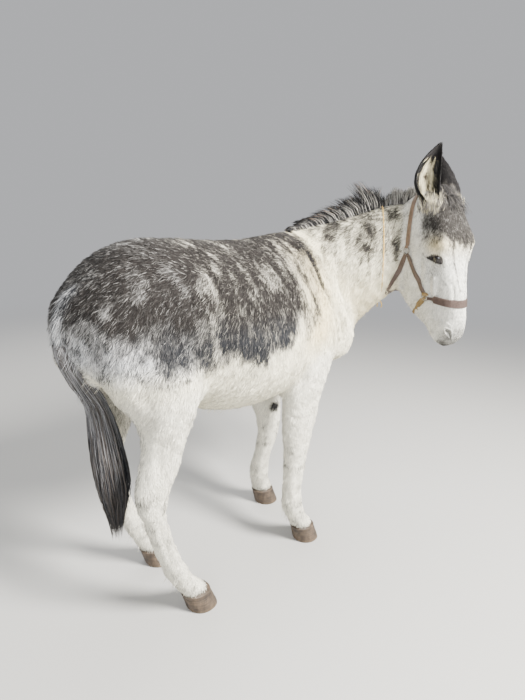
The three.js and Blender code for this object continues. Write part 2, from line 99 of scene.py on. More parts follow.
def add_camera():
    ahead = Vector(
        (math.cos(PITCH) * math.cos(YAW), math.cos(PITCH) * math.sin(YAW), -math.sin(PITCH))
    )
    right = ahead.cross(Vector((0, 0, 1))).normalized()
    up = right.cross(ahead)
    across = right * math.cos(ROLL) + up * math.sin(ROLL)
    upward = up * math.cos(ROLL) - right * math.sin(ROLL)
    data = bpy.data.cameras.new("camera")
    data.sensor_width = SENSOR
    data.lens = SENSOR * FOCAL_SHARE
    data.clip_end = 100
    camera = bpy.data.objects.new("camera", data)
    turn = Matrix((across, upward, -ahead)).transposed()
    camera.matrix_world = Matrix.Translation(to_frame(CAMERA_AT)) @ turn.to_4x4()
    bpy.context.scene.collection.objects.link(camera)
    bpy.context.scene.camera = camera


add_camera()


def add_light(name, place, target, size, power, colour=(1, 1, 1)):
    data = bpy.data.lights.new(name, "AREA")
    data.shape = "DISK"
    data.size = size
    data.energy = power
    data.color = colour
    light = bpy.data.objects.new(name, data)
    light.location = place
    way = Vector(target) - Vector(place)
    light.rotation_euler = way.to_track_quat("-Z", "Y").to_euler()
    bpy.context.scene.collection.objects.link(light)


add_light("key", (0.4, -3.3, 3.3), (0.1, 0, 0.8), 1.3, 1300, (1, 0.975, 0.93))
add_light("fill", (-3.0, -2.4, 2.0), (-0.1, 0, 0.7), 2.5, 210, (0.97, 0.985, 1))
add_light("top", (0.6, 1.0, 4.4), (0, 0, 0.8), 2.6, 150)
add_light("back", (1.5, 4.0, 2.5), (0, 0, 0.8), 3.0, 70)

WORLD_COLOUR = (0.86, 0.87, 0.9, 1)
WORLD_STRENGTH = 0.62
world = bpy.data.worlds.new("studio")
world.use_nodes = True
world.node_tree.nodes["Background"].inputs["Color"].default_value = WORLD_COLOUR
world.node_tree.nodes["Background"].inputs["Strength"].default_value = WORLD_STRENGTH
bpy.context.scene.world = world


# ------------------------------------------------------------------ materials

def srgb(red, green, blue):
    """Linear colour from screen values of 0 to 255."""
    v = np.array([red, green, blue]) / 255
    return np.where(v <= 0.04045, v / 12.92, ((v + 0.055) / 1.055) ** 2.4)


def new_material(name, roughness, **sockets):
    """A material and its shader: sockets are given by name, with _ for a space."""
    material = bpy.data.materials.new(name)
    material.use_nodes = True
    shader = material.node_tree.nodes["Principled BSDF"]
    shader.inputs["Roughness"].default_value = roughness
    for key, value in sockets.items():
        shader.inputs[key.replace("_", " ")].default_value = value
    return material, shader


def node(material, kind, inputs=None, **settings):
    made = material.node_tree.nodes.new(kind)
    for key, value in settings.items():
        setattr(made, key, value)
    for key, value in (inputs or {}).items():
        if isinstance(value, bpy.types.NodeSocket):
            material.node_tree.links.new(value, made.inputs[key])
        else:
            made.inputs[key].default_value = value
    return made


def painted_material(name, grain, contrast, bump, roughness, stretch=(1, 1, 1), **sockets):
    """Colour from the mesh's own paint, broken up by fine grain that also makes the bump.

    grain is how many grains there are to a metre, bump how far they stand out in metres.
    """
    material, shader = new_material(name, roughness, **sockets)
    links = material.node_tree.links
    paint = node(material, "ShaderNodeAttribute", attribute_name="paint")
    place = node(material, "ShaderNodeTexCoord")
    scaled = node(
        material, "ShaderNodeMapping", {"Vector": place.outputs["Object"], "Scale": stretch}
    )
    grains = node(
        material, "ShaderNodeTexNoise",
        {"Vector": scaled.outputs["Vector"], "Scale": grain, "Detail": 4.0, "Roughness": 0.6},
    )
    value = node(
        material, "ShaderNodeMapRange",
        {"Value": grains.outputs["Fac"], "From Min": 0.3, "From Max": 0.7,
         "To Min": 1 - contrast, "To Max": 1 + contrast},
    )
    grained = node(
        material, "ShaderNodeVectorMath",
        {0: paint.outputs["Color"], "Scale": value.outputs["Result"]}, operation="SCALE",
    )
    links.new(grained.outputs["Vector"], shader.inputs["Base Color"])
    raised = node(
        material, "ShaderNodeBump",
        {"Height": grains.outputs["Fac"], "Strength": 1.0, "Distance": bump},
    )
    links.new(raised.outputs["Normal"], shader.inputs["Normal"])
    return material


COAT = painted_material(
    "coat", 260, 0.1, 0.0006, roughness=0.75, Specular_IOR_Level=0.1, Sheen_Weight=0.03,
    Sheen_Roughness=0.5,
)
SKIN = painted_material("skin", 420, 0.22, 0.0012, roughness=0.8, Specular_IOR_Level=0.2)
HAIR = painted_material(
    "long_hair", 300, 0.16, 0.0005, roughness=0.55, Specular_IOR_Level=0.2
)


# ------------------------------------------------------------------ meshes as arrays

def unit(v):
    return v / np.maximum(np.linalg.norm(v, axis=-1, keepdims=True), 1e-12)


def smooth(a, b, x):
    """From 0 at a to 1 at b, with soft ends."""
    t = np.clip((np.asarray(x, float) - a) / (b - a), 0, 1)
    return t * t * (3 - 2 * t)


def bell(x, reach):
    return np.exp(-((x / reach) ** 2))


def mesh_arrays(mesh):
    """Corner places and triangles of a mesh."""
    mesh.calc_loop_triangles()
    co = np.empty(len(mesh.vertices) * 3, np.float32)
    mesh.vertices.foreach_get("co", co)
    tri = np.empty(len(mesh.loop_triangles) * 3, np.int32)
    mesh.loop_triangles.foreach_get("vertices", tri)
    return co.reshape(-1, 3).astype(float), tri.reshape(-1, 3)


def corner_normals(co, tri):
    flat = np.cross(co[tri[:, 1]] - co[tri[:, 0]], co[tri[:, 2]] - co[tri[:, 0]])
    out = np.zeros_like(co)
    for k in range(3):
        for axis in range(3):
            out[:, axis] += np.bincount(tri[:, k], flat[:, axis], len(co))
    return unit(out)


def make_piece(name, co, faces, material, paint, uv=None, normals=None):
    """A smooth mesh piece from arrays; faces all have the same number of corners."""
    faces = np.asarray(faces, np.int32)
    mesh = bpy.data.meshes.new(name)
    mesh.vertices.add(len(co))
    mesh.vertices.foreach_set("co", np.asarray(co, np.float32).ravel())
    mesh.loops.add(faces.size)
    mesh.loops.foreach_set("vertex_index", faces.ravel())
    mesh.polygons.add(len(faces))
    mesh.polygons.foreach_set("loop_start", np.arange(len(faces), dtype=np.int32) * faces.shape[1])
    mesh.polygons.foreach_set("use_smooth", np.ones(len(faces), bool))
    mesh.update(calc_edges=True)
    layer = mesh.color_attributes.new("paint", "FLOAT_COLOR", "POINT")
    rgba = np.ones((len(co), 4), np.float32)
    rgba[:, :3] = paint
    layer.data.foreach_set("color", rgba.ravel())
    if uv is not None:
        layer = mesh.uv_layers.new(name="OFBake")
        layer.data.foreach_set("uv", np.asarray(uv, np.float32).reshape(-1))
    if normals is not None:
        mesh.normals_split_custom_set_from_vertices(np.asarray(normals, np.float32))
    mesh.materials.append(material)
    piece = bpy.data.objects.new(name, mesh)
    bpy.context.scene.collection.objects.link(piece)
    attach(piece, "root")
    return piece


# ------------------------------------------------------------------ noise

def lattice(i, seed):
    """A value from -1 to 1 for each whole-number place."""
    n = i[..., 0] * 73856093 ^ i[..., 1] * 19349663 ^ i[..., 2] * 83492791 ^ seed * 2654435761
    n = (n ^ (n >> 13)) * 1274126177
    n = n ^ (n >> 16)
    return (n & 0xFFFFFF) / 0xFFFFFF * 2 - 1


def noise(p, scale, seed, octaves=2):
    """Smooth random values, about -1 to 1, over places p; scale may differ by axis."""
    total = np.zeros(len(p))
    weight = 1.0
    for octave in range(octaves):
        q = p / (np.asarray(scale, float) / 2**octave) + 31.7 * octave
        cell = np.floor(q).astype(np.int64)
        f = q - cell
        f = f * f * (3 - 2 * f)
        for corner in np.ndindex(2, 2, 2):
            share = np.prod([f[:, k] if corner[k] else 1 - f[:, k] for k in range(3)], axis=0)
            total += weight * share * lattice(cell + np.array(corner), seed + octave)
        weight *= 0.55
    return total


# ------------------------------------------------------------------ curves, sweeps and strands

def sizes_at(rows, places):
    """A smooth curve through rows of [place, size, ...]: the sizes at each place."""
    rows = np.asarray(rows, float)
    x, y = rows[:, 0], rows[:, 1:]
    places = np.clip(places, x[0], x[-1])
    slope = np.gradient(y, x, axis=0)
    k = np.clip(np.searchsorted(x, places) - 1, 0, len(x) - 2)
    wide = (x[k + 1] - x[k])[:, None]
    t = (places - x[k])[:, None] / wide
    return (
        y[k] * (1 + 2 * t) * (1 - t) ** 2
        + y[k + 1] * t * t * (3 - 2 * t)
        + wide * t * (1 - t) * (slope[k] * (1 - t) - slope[k + 1] * t)
    )


def along_curve(points, t):
    """Places on a smooth curve through points, t from 0 to 1."""
    points = np.asarray(points, float)
    return sizes_at(np.column_stack([np.arange(len(points)), points]), t * (len(points) - 1))


def tube_faces(rings, sides, closed=False):
    """Triangles of a tube of rings, its corners counted round each ring in turn."""
    ring = np.arange(rings if closed else rings - 1)[:, None]
    side = np.arange(sides)[None, :]
    a = ring * sides + side
    b = ring * sides + (side + 1) % sides
    above = (ring + 1) % rings * sides
    c = above + (side + 1) % sides
    d = above + side
    return np.concatenate([np.stack([a, b, c], -1), np.stack([a, c, d], -1)]).reshape(-1, 3)


def capped_faces(rings, sides):
    """A tube's triangles and its filled ends, whose middles are the last two corners."""
    k = np.arange(sides)
    after = (k + 1) % sides
    last = (rings - 1) * sides
    start_middle, end_middle = np.full(sides, rings * sides), np.full(sides, rings * sides + 1)
    return np.concatenate([
        tube_faces(rings, sides),
        np.stack([after, k, start_middle], 1),
        np.stack([last + k, last + after, end_middle], 1),
    ])


def sweep(places, across, out, section, closed=False):
    """Corners and triangles of an outline carried along a path; its ends are filled in.

    section is (rings or 1, sides, 2): how far across, and how far out, each corner lies.
    """
    section = np.asarray(section, float)
    if section.ndim == 2:
        section = section[None]
    rings, sides = len(places), section.shape[1]
    co = (
        places[:, None]
        + across[:, None] * section[..., :1]
        + out[:, None] * section[..., 1:]
    )
    co = co.reshape(-1, 3)
    if closed:
        return co, tube_faces(rings, sides, closed)
    co = np.concatenate([co, co[:sides].mean(0)[None], co[-sides:].mean(0)[None]])
    return co, capped_faces(rings, sides)


def circle(sides, radius=1.0):
    turn = np.arange(sides) * 2 * np.pi / sides
    return np.stack([np.cos(turn), np.sin(turn)], 1) * radius


def path_frames(path, hint, closed):
    """Two directions square to a path at each place; the first is as near as can be to hint."""
    if closed:
        run = unit(np.roll(path, -1, 0) - np.roll(path, 1, 0))
    else:
        run = unit(np.gradient(path, axis=0))
    hint = np.broadcast_to(np.asarray(hint, float), path.shape)
    side = unit(hint - run * (hint * run).sum(1)[:, None])
    return side, np.cross(run, side)


def facing_out(co, faces):
    """The faces of a closed form, turned over if they face inwards."""
    a, b, c = (co[faces[:, k]] for k in range(3))
    return faces if (a * np.cross(b, c)).sum() > 0 else faces[:, ::-1]


def joined(parts):
    """Many (corners, triangles) as one."""
    counts = np.cumsum([0] + [len(co) for co, _ in parts])
    faces = [np.asarray(f) + n for (_, f), n in zip(parts, counts)]
    return np.concatenate([co for co, _ in parts]), np.concatenate(faces)


PATCH = 0.003  # how wide one hair's own patch of the unwrap is


def strands(name, paths, wide, root_colour, tip_colour, uv, material):
    """Closed tapering strands along paths, an array of (strand, step, xyz)."""
    count, steps, _ = paths.shape
    run = unit(np.gradient(paths, axis=1))
    hint = unit(rng.normal(0, 1, (count, 1, 3)))
    side = unit(np.cross(run, hint))
    other = np.cross(run, side)
    share = np.linspace(0, 1, steps)
    girth = (wide[:, None] / 2 * (1 - 0.75 * share**2))[..., None]
    rings = [side * math.cos(a) + other * math.sin(a) for a in (0, 2.094, 4.189)]
    co = np.stack([paths + girth * r for r in rings], 2)[:, :-1].reshape(count, -1, 3)
    co = np.concatenate([co, paths[:, -1:]], 1)
    normals = np.stack(rings, 2)[:, :-1].reshape(count, -1, 3)
    normals = np.concatenate([normals, run[:, -1:]], 1)
    last = 3 * (steps - 2)
    shape = np.concatenate([
        tube_faces(steps - 1, 3),
        [(last, last + 1, last + 3), (last + 1, last + 2, last + 3), (last + 2, last, last + 3)],
        [(0, 2, 1)],
    ])
    per = 3 * (steps - 1) + 1
    faces = (np.arange(count)[:, None, None] * per + shape).reshape(-1, 3)
    place = np.append(np.repeat(share[:-1], 3), 1.0)
    blend = (place**1.3)[None, :, None]
    paint = root_colour[:, None] * (1 - blend) + tip_colour[:, None] * blend
    turn = np.append(np.tile([0, 0.5, 1.0], steps - 1), 0.5)
    at = uv[:, None] + PATCH * np.stack([turn, place], 1)
    return make_piece(
        name, co.reshape(-1, 3), faces, material, paint=paint.reshape(-1, 3),
        uv=at.reshape(-1, 2)[faces.ravel()], normals=normals.reshape(-1, 3),
    )


# ------------------------------------------------------------------ the skin's shape

LEGS = ["foreleg_right", "foreleg_left", "hindleg_right", "hindleg_left"]
UPPERS = [leg + "_upper" for leg in LEGS]
LOWERS = [leg + "_lower" for leg in LEGS]
FLESH = ["trunk", "neck", "head", "tail_dock", *UPPERS, *LOWERS]
REGIONS = ["trunk", "neck", "head", "dock", "upper", "lower"]
VOXEL = 0.0092
GROWN = 0.0007  # how much each solid swells, so that neighbours fuse
MARGIN = 0.03  # round a node, where skin can belong to it
SOFTNESS = np.array([1.0, 1.0, 0.34, 0.5, 0.8, 0.16])  # how far each region is smoothed
SMOOTHINGS = 34
CUT_SOFTNESS, CUT_REACH = 0.9, 26  # where a leg's two solids meet
# Coat depth by region, in millimetres: the skin lies this far inside the solids.
COAT_DEPTH = np.array([8.5, 8.5, 4.2, 6.0, 7.0, 4.5])
MUZZLE_THIN = 2.6  # how much less deep the coat is on the muzzle


def region_of(name):
    if name in UPPERS:
        return REGIONS.index("upper")
    if name in LOWERS:
        return REGIONS.index("lower")
    return REGIONS.index("dock" if name == "tail_dock" else name)


def of_region(share, region):
    return share[:, REGIONS.index(region)]


def welded(name, grow=0.0):
    """A node's solid with its corners joined, swollen by a distance."""
    bm = bmesh.new()
    bm.from_mesh(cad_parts[name].data)
    bmesh.ops.remove_doubles(bm, verts=bm.verts, dist=1e-5)
    bm.normal_update()
    for v in bm.verts:
        v.co += v.normal * grow
    return bm


def fused(names):
    """One mesh over all the named nodes."""
    whole = bpy.data.meshes.new("fused")
    bm = bmesh.new()
    for name in names:
        part = welded(name, GROWN)
        part.to_mesh(whole)
        part.free()
        bm.from_mesh(whole)
    bm.to_mesh(whole)
    bm.free()
    holder = bpy.data.objects.new("fused", whole)
    bpy.context.scene.collection.objects.link(holder)
    remesh = holder.modifiers.new("remesh", "REMESH")
    remesh.mode = "VOXEL"
    remesh.voxel_size = VOXEL
    graph = bpy.context.evaluated_depsgraph_get()
    mesh = bpy.data.meshes.new_from_object(holder.evaluated_get(graph))
    bpy.data.objects.remove(holder)
    return mesh


def edges_of(mesh):
    edges = np.empty(len(mesh.edges) * 2, np.int32)
    mesh.edges.foreach_get("vertices", edges)
    return edges.reshape(-1, 2)


def relaxed(values, edges, times):
    """Values at corners, each moved halfway to its neighbours' mean, over and over."""
    values = np.array(values, float)
    a, b = edges.T
    count = len(values)
    degree = np.maximum(np.bincount(edges.ravel(), minlength=count), 1)
    for _ in range(times):
        for k in range(values.shape[1]):
            column = values[:, k]
            total = np.bincount(a, column[b], count) + np.bincount(b, column[a], count)
            values[:, k] = column + 0.5 * (total / degree - column)
    return values


def set_places(mesh, co):
    mesh.vertices.foreach_set("co", np.asarray(co, np.float32).ravel())
    mesh.update()


def refine(mesh, wanted):
    """Splits each face whose middle is wanted into four."""
    bm = bmesh.new()
    bm.from_mesh(mesh)
    bm.faces.ensure_lookup_table()
    middles = np.array([f.calc_center_median() for f in bm.faces])
    chosen = wanted(middles)
    edges = {e for f, pick in zip(bm.faces, chosen) if pick for e in f.edges}
    bmesh.ops.subdivide_edges(bm, edges=list(edges), cuts=1, use_grid_fill=True)
    bm.to_mesh(mesh)
    bm.free()


def near_head(metres):
    h = head_of(to_body(metres))
    inside = (h[:, 0] > -70) & (h[:, 0] < 560) & (np.abs(h[:, 1]) < 140)
    return inside & (h[:, 2] > -0.15 * h[:, 0] - 235) & (h[:, 2] < 70)


EYE_MIDDLE = np.array([210.0, 75.5, -36.0])  # in HEAD, on the left
EYE_RADIUS = 23.0


def near_details(metres):
    """Round the eyes, and on the muzzle with its nostrils and lips."""
    g = on_left(head_of(to_body(metres)))
    by_eye = np.linalg.norm((g - EYE_MIDDLE - [-4, 14, -8]) / [1, 1, 1.2], axis=1) < 50
    muzzle = (g[:, 0] > 425) & (g[:, 2] < 20) & (g[:, 2] > -150) & near_head(metres)
    return by_eye | muzzle


def near_eye(metres):
    g = on_left(head_of(to_body(metres)))
    return np.linalg.norm(g - EYE_MIDDLE - [-2, 12, -4], axis=1) < 34


def nearest_node(co):
    """For each place, the number in FLESH of the nearest node."""
    gaps = np.full((len(co), len(FLESH)), np.inf)
    for k, name in enumerate(FLESH):
        bm = welded(name)
        tree = BVHTree.FromBMesh(bm)
        bm.free()
        lo, hi = (np.array(c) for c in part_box(name))
        close = np.flatnonzero(((co > lo - MARGIN) & (co < hi + MARGIN)).all(axis=1))
        gaps[close, k] = [tree.find_nearest(Vector(co[i]))[3] for i in close]
    return gaps.argmin(axis=1)


REGION_OF_NODE = np.eye(len(REGIONS))[[region_of(name) for name in FLESH]]

skin_mesh = fused([*FLESH, "eye_right", "eye_left"])
co, _ = mesh_arrays(skin_mesh)
edges = edges_of(skin_mesh)
share = relaxed(REGION_OF_NODE[nearest_node(co)], edges, 4)
soft = share @ SOFTNESS
height = co[:, 2] * 1000
soft *= 1 - 0.6 * smooth(900, 600, height) * of_region(share, "upper")
for name in LOWERS:
    lo, hi = (np.array(c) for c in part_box(name))
    over_cut = ((co[:, :2] > lo[:2] - MARGIN) & (co[:, :2] < hi[:2] + MARGIN)).all(axis=1)
    soft = np.maximum(soft, CUT_SOFTNESS * over_cut * bell(height - 1000 * hi[2], CUT_REACH))
for _ in range(SMOOTHINGS):
    co = co + (relaxed(co, edges, 1) - co) * soft[:, None]
set_places(skin_mesh, co)
refine(skin_mesh, near_head)
co, _ = mesh_arrays(skin_mesh)
edges = edges_of(skin_mesh)
co = co + (relaxed(co, edges, 3) - co) * near_head(co)[:, None]
set_places(skin_mesh, co)
refine(skin_mesh, near_details)
refine(skin_mesh, near_eye)
co, tri = mesh_arrays(skin_mesh)
edges = edges_of(skin_mesh)
nearest = nearest_node(co)
share = relaxed(REGION_OF_NODE[nearest], edges, 8)
by_head = of_region(share, "head")
depth = share @ COAT_DEPTH
depth -= by_head * MUZZLE_THIN * smooth(380, 500, head_of(to_body(co))[:, 0])
co = co - corner_normals(co, tri) * (depth / 1000)[:, None]
set_places(skin_mesh, co)

# ------------------------------------------------------------------ folds, lids, nostrils and lips

def from_line(places, line):
    """Distance from each place to a line of points, and how far along it, from 0 to 1."""
    line = np.asarray(line, float)
    best = np.full(len(places), np.inf)
    along = np.zeros(len(places))
    for k, (a, b) in enumerate(zip(line, line[1:])):
        run = b - a
        t = np.clip((places - a) @ run / (run @ run), 0, 1)
        gap = np.linalg.norm(places - a - t[:, None] * run, axis=1)
        closer = gap < best
        best = np.where(closer, gap, best)
        along = np.where(closer, (k + t) / (len(line) - 1), along)
    return best, along


def outline_gap(flat, outline):
    """Distance from a closed outline, less than 0 inside it."""
    ring = np.vstack([outline, outline[:1]])
    gap, _ = from_line(flat, ring)
    crossings = np.zeros(len(flat), int)
    for (x0, y0), (x1, y1) in zip(ring, ring[1:]):
        spans = (y0 > flat[:, 1]) != (y1 > flat[:, 1])
        at = x0 + (flat[:, 1] - y0) * (x1 - x0) / (y1 - y0 if y1 != y0 else 1e-9)
        crossings += spans & (flat[:, 0] < at)
    return np.where(crossings % 2 == 1, -gap, gap)


def rounded_outline(points, count):
    """A smooth closed curve through points."""
    points = np.asarray(points, float)
    wrapped = np.vstack([points[-2:], points, points[:3]])
    t = (2 + np.arange(count) * len(points) / count) / (len(wrapped) - 1)
    return along_curve(wrapped, t)


# Round the eye, the first number is from the outer corner to the inner, the second is up.
EYE_ACROSS = np.array([0.41, 0.0, 0.91])
EYE_UP = np.array([-0.91, 0.0, 0.41])
OPENING = rounded_outline([
    (-22, -6), (-15, 2), (-6, 9), (4, 12), (11.5, 9.5), (16.5, 0), (15, -9), (8, -13),
    (-4, -12.5), (-15, -11),
], 72)
DARK_LID = rounded_outline([
    (-46, -8), (-32, 3), (-18, 12), (-2, 17), (11, 16.5), (21, 8), (24, -5), (20, -16.5),
    (10, -18.5), (-6, -17), (-22, -15), (-36, -12.5),
], 40)
LID_THICK = 1.7
# In HEAD, on the left.
NOSTRIL = [(471, 47, -50), (477, 48, -45), (490, 46, -40), (502, 42, -40), (511, 37, -44)]
NOSTRIL_RIDGE = [
    (492, 44, -29), (476, 45, -29), (459, 46, -33), (447, 48, -45), (453, 50, -58), (468, 50, -62),
]
MOUTH = [(450, 45, -125), (472, 44, -117), (495, 44, -108), (517, 33, -99), (529, 16, -95),
         (533, 0, -94)]
CHEEK = [(180, 96, -95), (240, 88, -110), (290, 76, -130), (318, 68, -165), (310, 60, -210)]
CREST_OF_FACE = [(262, 82, -58), (310, 70, -72), (350, 62, -82)]
ABOVE_EYE = [(140, 84, -50), (156, 78, -22), (182, 70, -6)]
BROW = [(168, 96, -46), (190, 90, -20), (222, 80, -12), (244, 70, -24)]
NOSE_FOLD = [(300, 44, -10), (330, 40, -12), (362, 38, -14), (392, 38, -22)]

# Folds in the side view, as x and z: on which sides they are, how deep, and their half width.
# Painted shade also darkens the pale hair along these folds.
BOTH, NEAR = (1, -1), (-1,)
DOCK_CREASE = [(-628, 1034), (-636, 989), (-625, 927), (-597, 880), (-560, 812)]
FOLDS = [
    (BOTH, [(246, 1228), (264, 1160), (272, 1067), (320, 980), (368, 870), (392, 800)], 8, 10),
    (NEAR, [(362, 1180), (341, 1080), (345, 990), (397, 885), (430, 810)], 10, 12),
    (NEAR, [(316, 1190), (306, 1100), (318, 1010), (352, 920)], 6, 9),
    (NEAR, [(420, 1150), (400, 1060), (420, 960), (470, 880)], 7, 13),
    (BOTH, [(-288, 870), (-302, 815), (-322, 750), (-330, 700)], 7, 15),
    (BOTH, [(160, 800), (176, 740), (196, 690)], 6, 15),
    (BOTH, [(-500, 960), (-500, 860), (-478, 760), (-462, 690)], 4.5, 18),
    (BOTH, [(-240, 1080), (-262, 1000), (-285, 920)], 3, 22),
    (BOTH, DOCK_CREASE, 9, 8),
    (BOTH, [(-452, 575), (-446, 640), (-440, 690)], 6, 13),
    (BOTH, [(-425, 570), (-420, 630), (-416, 690)], 4, 11),
]
# Between each cannon bone and the tendons behind it: from and to, as x and z.
TENDONS = {
    "foreleg_right_lower": [(204, 345), (196, 290), (193, 225)],
    "foreleg_left_lower": [(328, 345), (312, 290), (306, 225)],
    "hindleg_right_lower": [(-462, 440), (-448, 370), (-405, 250)],
    "hindleg_left_lower": [(-408, 440), (-392, 370), (-350, 250)],
}


def faded_ends(along):
    return smooth(0, 0.2, along) * smooth(1, 0.8, along)


def pressed(places, line, depth, half, ridge=0.35):
    """How far a fold moves the skin: inwards along it, and out in a soft ridge to either side."""
    gap, along = from_line(places, line)
    raised = ridge * depth * bell(gap - 2.3 * half, 1.2 * half)
    return faded_ends(along) * (raised - depth * bell(gap, half))


def eye_places(h):
    """Along, up and out from the middle of the eyeball, for places in HEAD on the left."""
    rel = h - EYE_MIDDLE
    return np.stack([rel @ EYE_ACROSS, rel @ EYE_UP, rel[:, 1]], 1)


def carved(body, nearest):
    """How far the skin stands out, for folds and muscles."""
    side_view = body[:, [0, 2]]
    on_head = nearest == FLESH.index("head")
    by = np.zeros(len(body))
    for sides, line, depth, half in FOLDS:
        chosen = np.isin(np.sign(body[:, 1]), sides) & ~on_head
        by[chosen] += pressed(side_view[chosen], line, depth, half)
    for name, line in TENDONS.items():
        chosen = nearest == FLESH.index(name)
        by[chosen] += pressed(side_view[chosen], line, 4.5, 7.5)
    own = np.flatnonzero(near_head(to_frame(body)) & on_head)
    g = on_left(head_of(body)[own])
    face = pressed(g, CHEEK, 6, 11) - pressed(g, CREST_OF_FACE, 6.5, 8, 0.3)
    face += pressed(g, NOSE_FOLD, 3.5, 5) + pressed(g, ABOVE_EYE, 5.5, 9, 0.5)
    face -= pressed(g, BROW, 3.5, 7, 0.2)
    face -= pressed(g, NOSTRIL_RIDGE, 3.2, 4.5, 0.15)
    hole, along = from_line(g, NOSTRIL)
    wide = np.interp(along, [0, 0.25, 0.6, 1], [3.2, 6.2, 4.2, 1.5])
    face -= np.interp(along, [0, 0.2, 0.6, 1], [7, 15, 9, 2]) * bell(hole, wide)
    face += 2.6 * bell(hole - wide * 1.9, 3.0) * smooth(1, 0.7, along)
    lips, _ = from_line(g, MOUTH)
    face -= 4.6 * bell(lips, 2.6)
    face += 2.0 * bell(lips - 7.5, 4.5) * smooth(430, 470, g[:, 0])
    by[own] += face
    relief = noise(body, 19, 101, 2) * 1.7 + noise(body * [1, 1, 0.45], 9, 103, 2) * 0.9
    by += relief * np.where(on_head, 0.4, 1.0)
    return by


def close_lids(h):
    """The skin of the lids over each eyeball, open where the eye shows."""
    g = on_left(h)
    at = eye_places(g)
    close = np.flatnonzero((np.hypot(at[:, 0], at[:, 1]) < 40) & (at[:, 2] > -6))
    local = at[close]
    away = np.linalg.norm(local, axis=1)
    gap = outline_gap(local[:, :2], OPENING)
    lid = EYE_RADIUS + LID_THICK + 0.9 * bell(gap - 5.5, 2.6) - 1.1 * bell(gap - 10.5, 1.8)
    wanted = np.maximum(away, lid)
    behind = EYE_RADIUS - 4 + 2 * smooth(-2, 1, gap)
    wanted = np.where(gap < 1.2, np.minimum(wanted, behind), wanted)
    scale = (wanted / np.maximum(away, 1e-6))[:, None]
    g[close] = EYE_MIDDLE + (g[close] - EYE_MIDDLE) * scale
    g[:, 1] *= np.where(h[:, 1] < 0, -1, 1)
    return g, close


co = co + corner_normals(co, tri) * (carved(to_body(co), nearest) / 1000)[:, None]
lidded, close = close_lids(head_of(to_body(co)))
own = close[nearest[close] == FLESH.index("head")]
co[own] = to_frame(body_of_head(lidded[own]))
set_places(skin_mesh, co)
SKIN_TREE = BVHTree.FromPolygons([Vector(c) for c in co], [tuple(t) for t in tri.tolist()])

# ------------------------------------------------------------------ the unwrap

# Each part of the body is unrolled round its own axis: from, to, the way that is opposite the
# seam, and its place in the unwrap as left, bottom, width and height.
CHARTS = {
    "trunk": ((-630, 0, 930), (600, 0, 900), (0, 0, 1), (0.01, 0.01, 0.48, 0.98)),
    "neck": ((240, 0, 960), (650, -320, 1230), (0, 0, 1), (0.51, 0.01, 0.23, 0.44)),
    "head": (
        body_of_head([-60, 0, -120]), body_of_head([550, 0, -80]),
        HEAD_AXES[:, 2], (0.51, 0.47, 0.23, 0.52),
    ),
    "tail_dock": ((-590, 0, 1110), (-530, 0, 740), (-1, 0, 0), (0.76, 0.01, 0.1, 0.18)),
    "foreleg_right": ((240, -130, 830), (230, -150, 60), (0, -1, 0), (0.76, 0.21, 0.11, 0.38)),
    "foreleg_left": ((330, 130, 830), (330, 150, 60), (0, 1, 0), (0.88, 0.21, 0.11, 0.38)),
    "hindleg_right": ((-420, -130, 1030), (-330, -150, 60), (0, -1, 0), (0.76, 0.61, 0.11, 0.38)),
    "hindleg_left": ((-400, 130, 1030), (-300, 150, 60), (0, 1, 0), (0.88, 0.61, 0.11, 0.38)),
}
CHART_NAMES = list(CHARTS)


def unrolled(chart, body):
    """Turn round the chart's axis in radians, and place along it from 0 to 1."""
    start, end, outward, _ = (np.array(v, float) for v in CHARTS[chart])
    length = np.linalg.norm(end - start)
    axis = (end - start) / length
    top = unit(outward - axis * (outward @ axis))
    side = np.cross(axis, top)
    rel = body - start
    return np.arctan2(rel @ side, rel @ top), (rel @ axis) / length


def unwrapped(chart_ids, middles, points):
    """UV of points that belong with face middles, one chart each."""
    uv = np.zeros((len(points), 2))
    for k, chart in enumerate(CHART_NAMES):
        mine = chart_ids == k
        base, _ = unrolled(chart, middles[mine])
        turn, along = unrolled(chart, points[mine])
        turn = base + (turn - base + np.pi) % (2 * np.pi) - np.pi
        left, bottom, wide, high = CHARTS[chart][3]
        uv[mine, 0] = left + wide * np.clip(turn / (2 * np.pi) + 0.5, 0, 1)
        uv[mine, 1] = bottom + high * np.clip(along, 0, 1)
    return uv


CHART_OF_NODE = ["trunk", "neck", "head", "tail_dock", *LEGS, *LEGS]
nearest_chart = np.array([CHART_NAMES.index(name) for name in CHART_OF_NODE])[nearest]

# ------------------------------------------------------------------ markings

WARM = srgb(243, 236, 210)
COOL = srgb(220, 221, 222)
CREAM = srgb(236, 216, 160)
BROWN = srgb(36, 33, 31)
SLATE = srgb(40, 41, 44)
CHARCOAL = srgb(36, 34, 35)
GREY = srgb(60, 57, 53)
ASH = srgb(86, 84, 81)
ROAN = srgb(158, 154, 148)
FACE_PALE = srgb(236, 234, 224)

# Along the body: where the grey has faded out below, and where it is full above.
GREY_EDGE_X = [-640, -600, -513, -421, -336, -282, -208, -121, -21, 57, 113, 150, 200, 280]
GREY_FADED = [870, 868, 815, 772, 812, 838, 840, 838, 846, 872, 915, 940, 975, 1020]
GREY_FULL = [1050, 1035, 1030, 1012, 985, 965, 925, 898, 905, 960, 1045, 1110, 1170, 1215]
SHOULDER_STRIPE = [(250, 1240), (260, 1210), (275, 1160), (284, 1067), (332, 980), (380, 870)]


def mixed(a, b, t):
    """Colours between a, where t is 0, and b, where it is 1."""
    t = np.asarray(t)[..., None]
    return a * (1 - t) + b * t


def blended(a, b, t):
    """Two sets of pale colour, dark colour and share of dark hair as one."""
    return mixed(a[0], b[0], t), mixed(a[1], b[1], t), a[2] * (1 - t) + b[2] * t


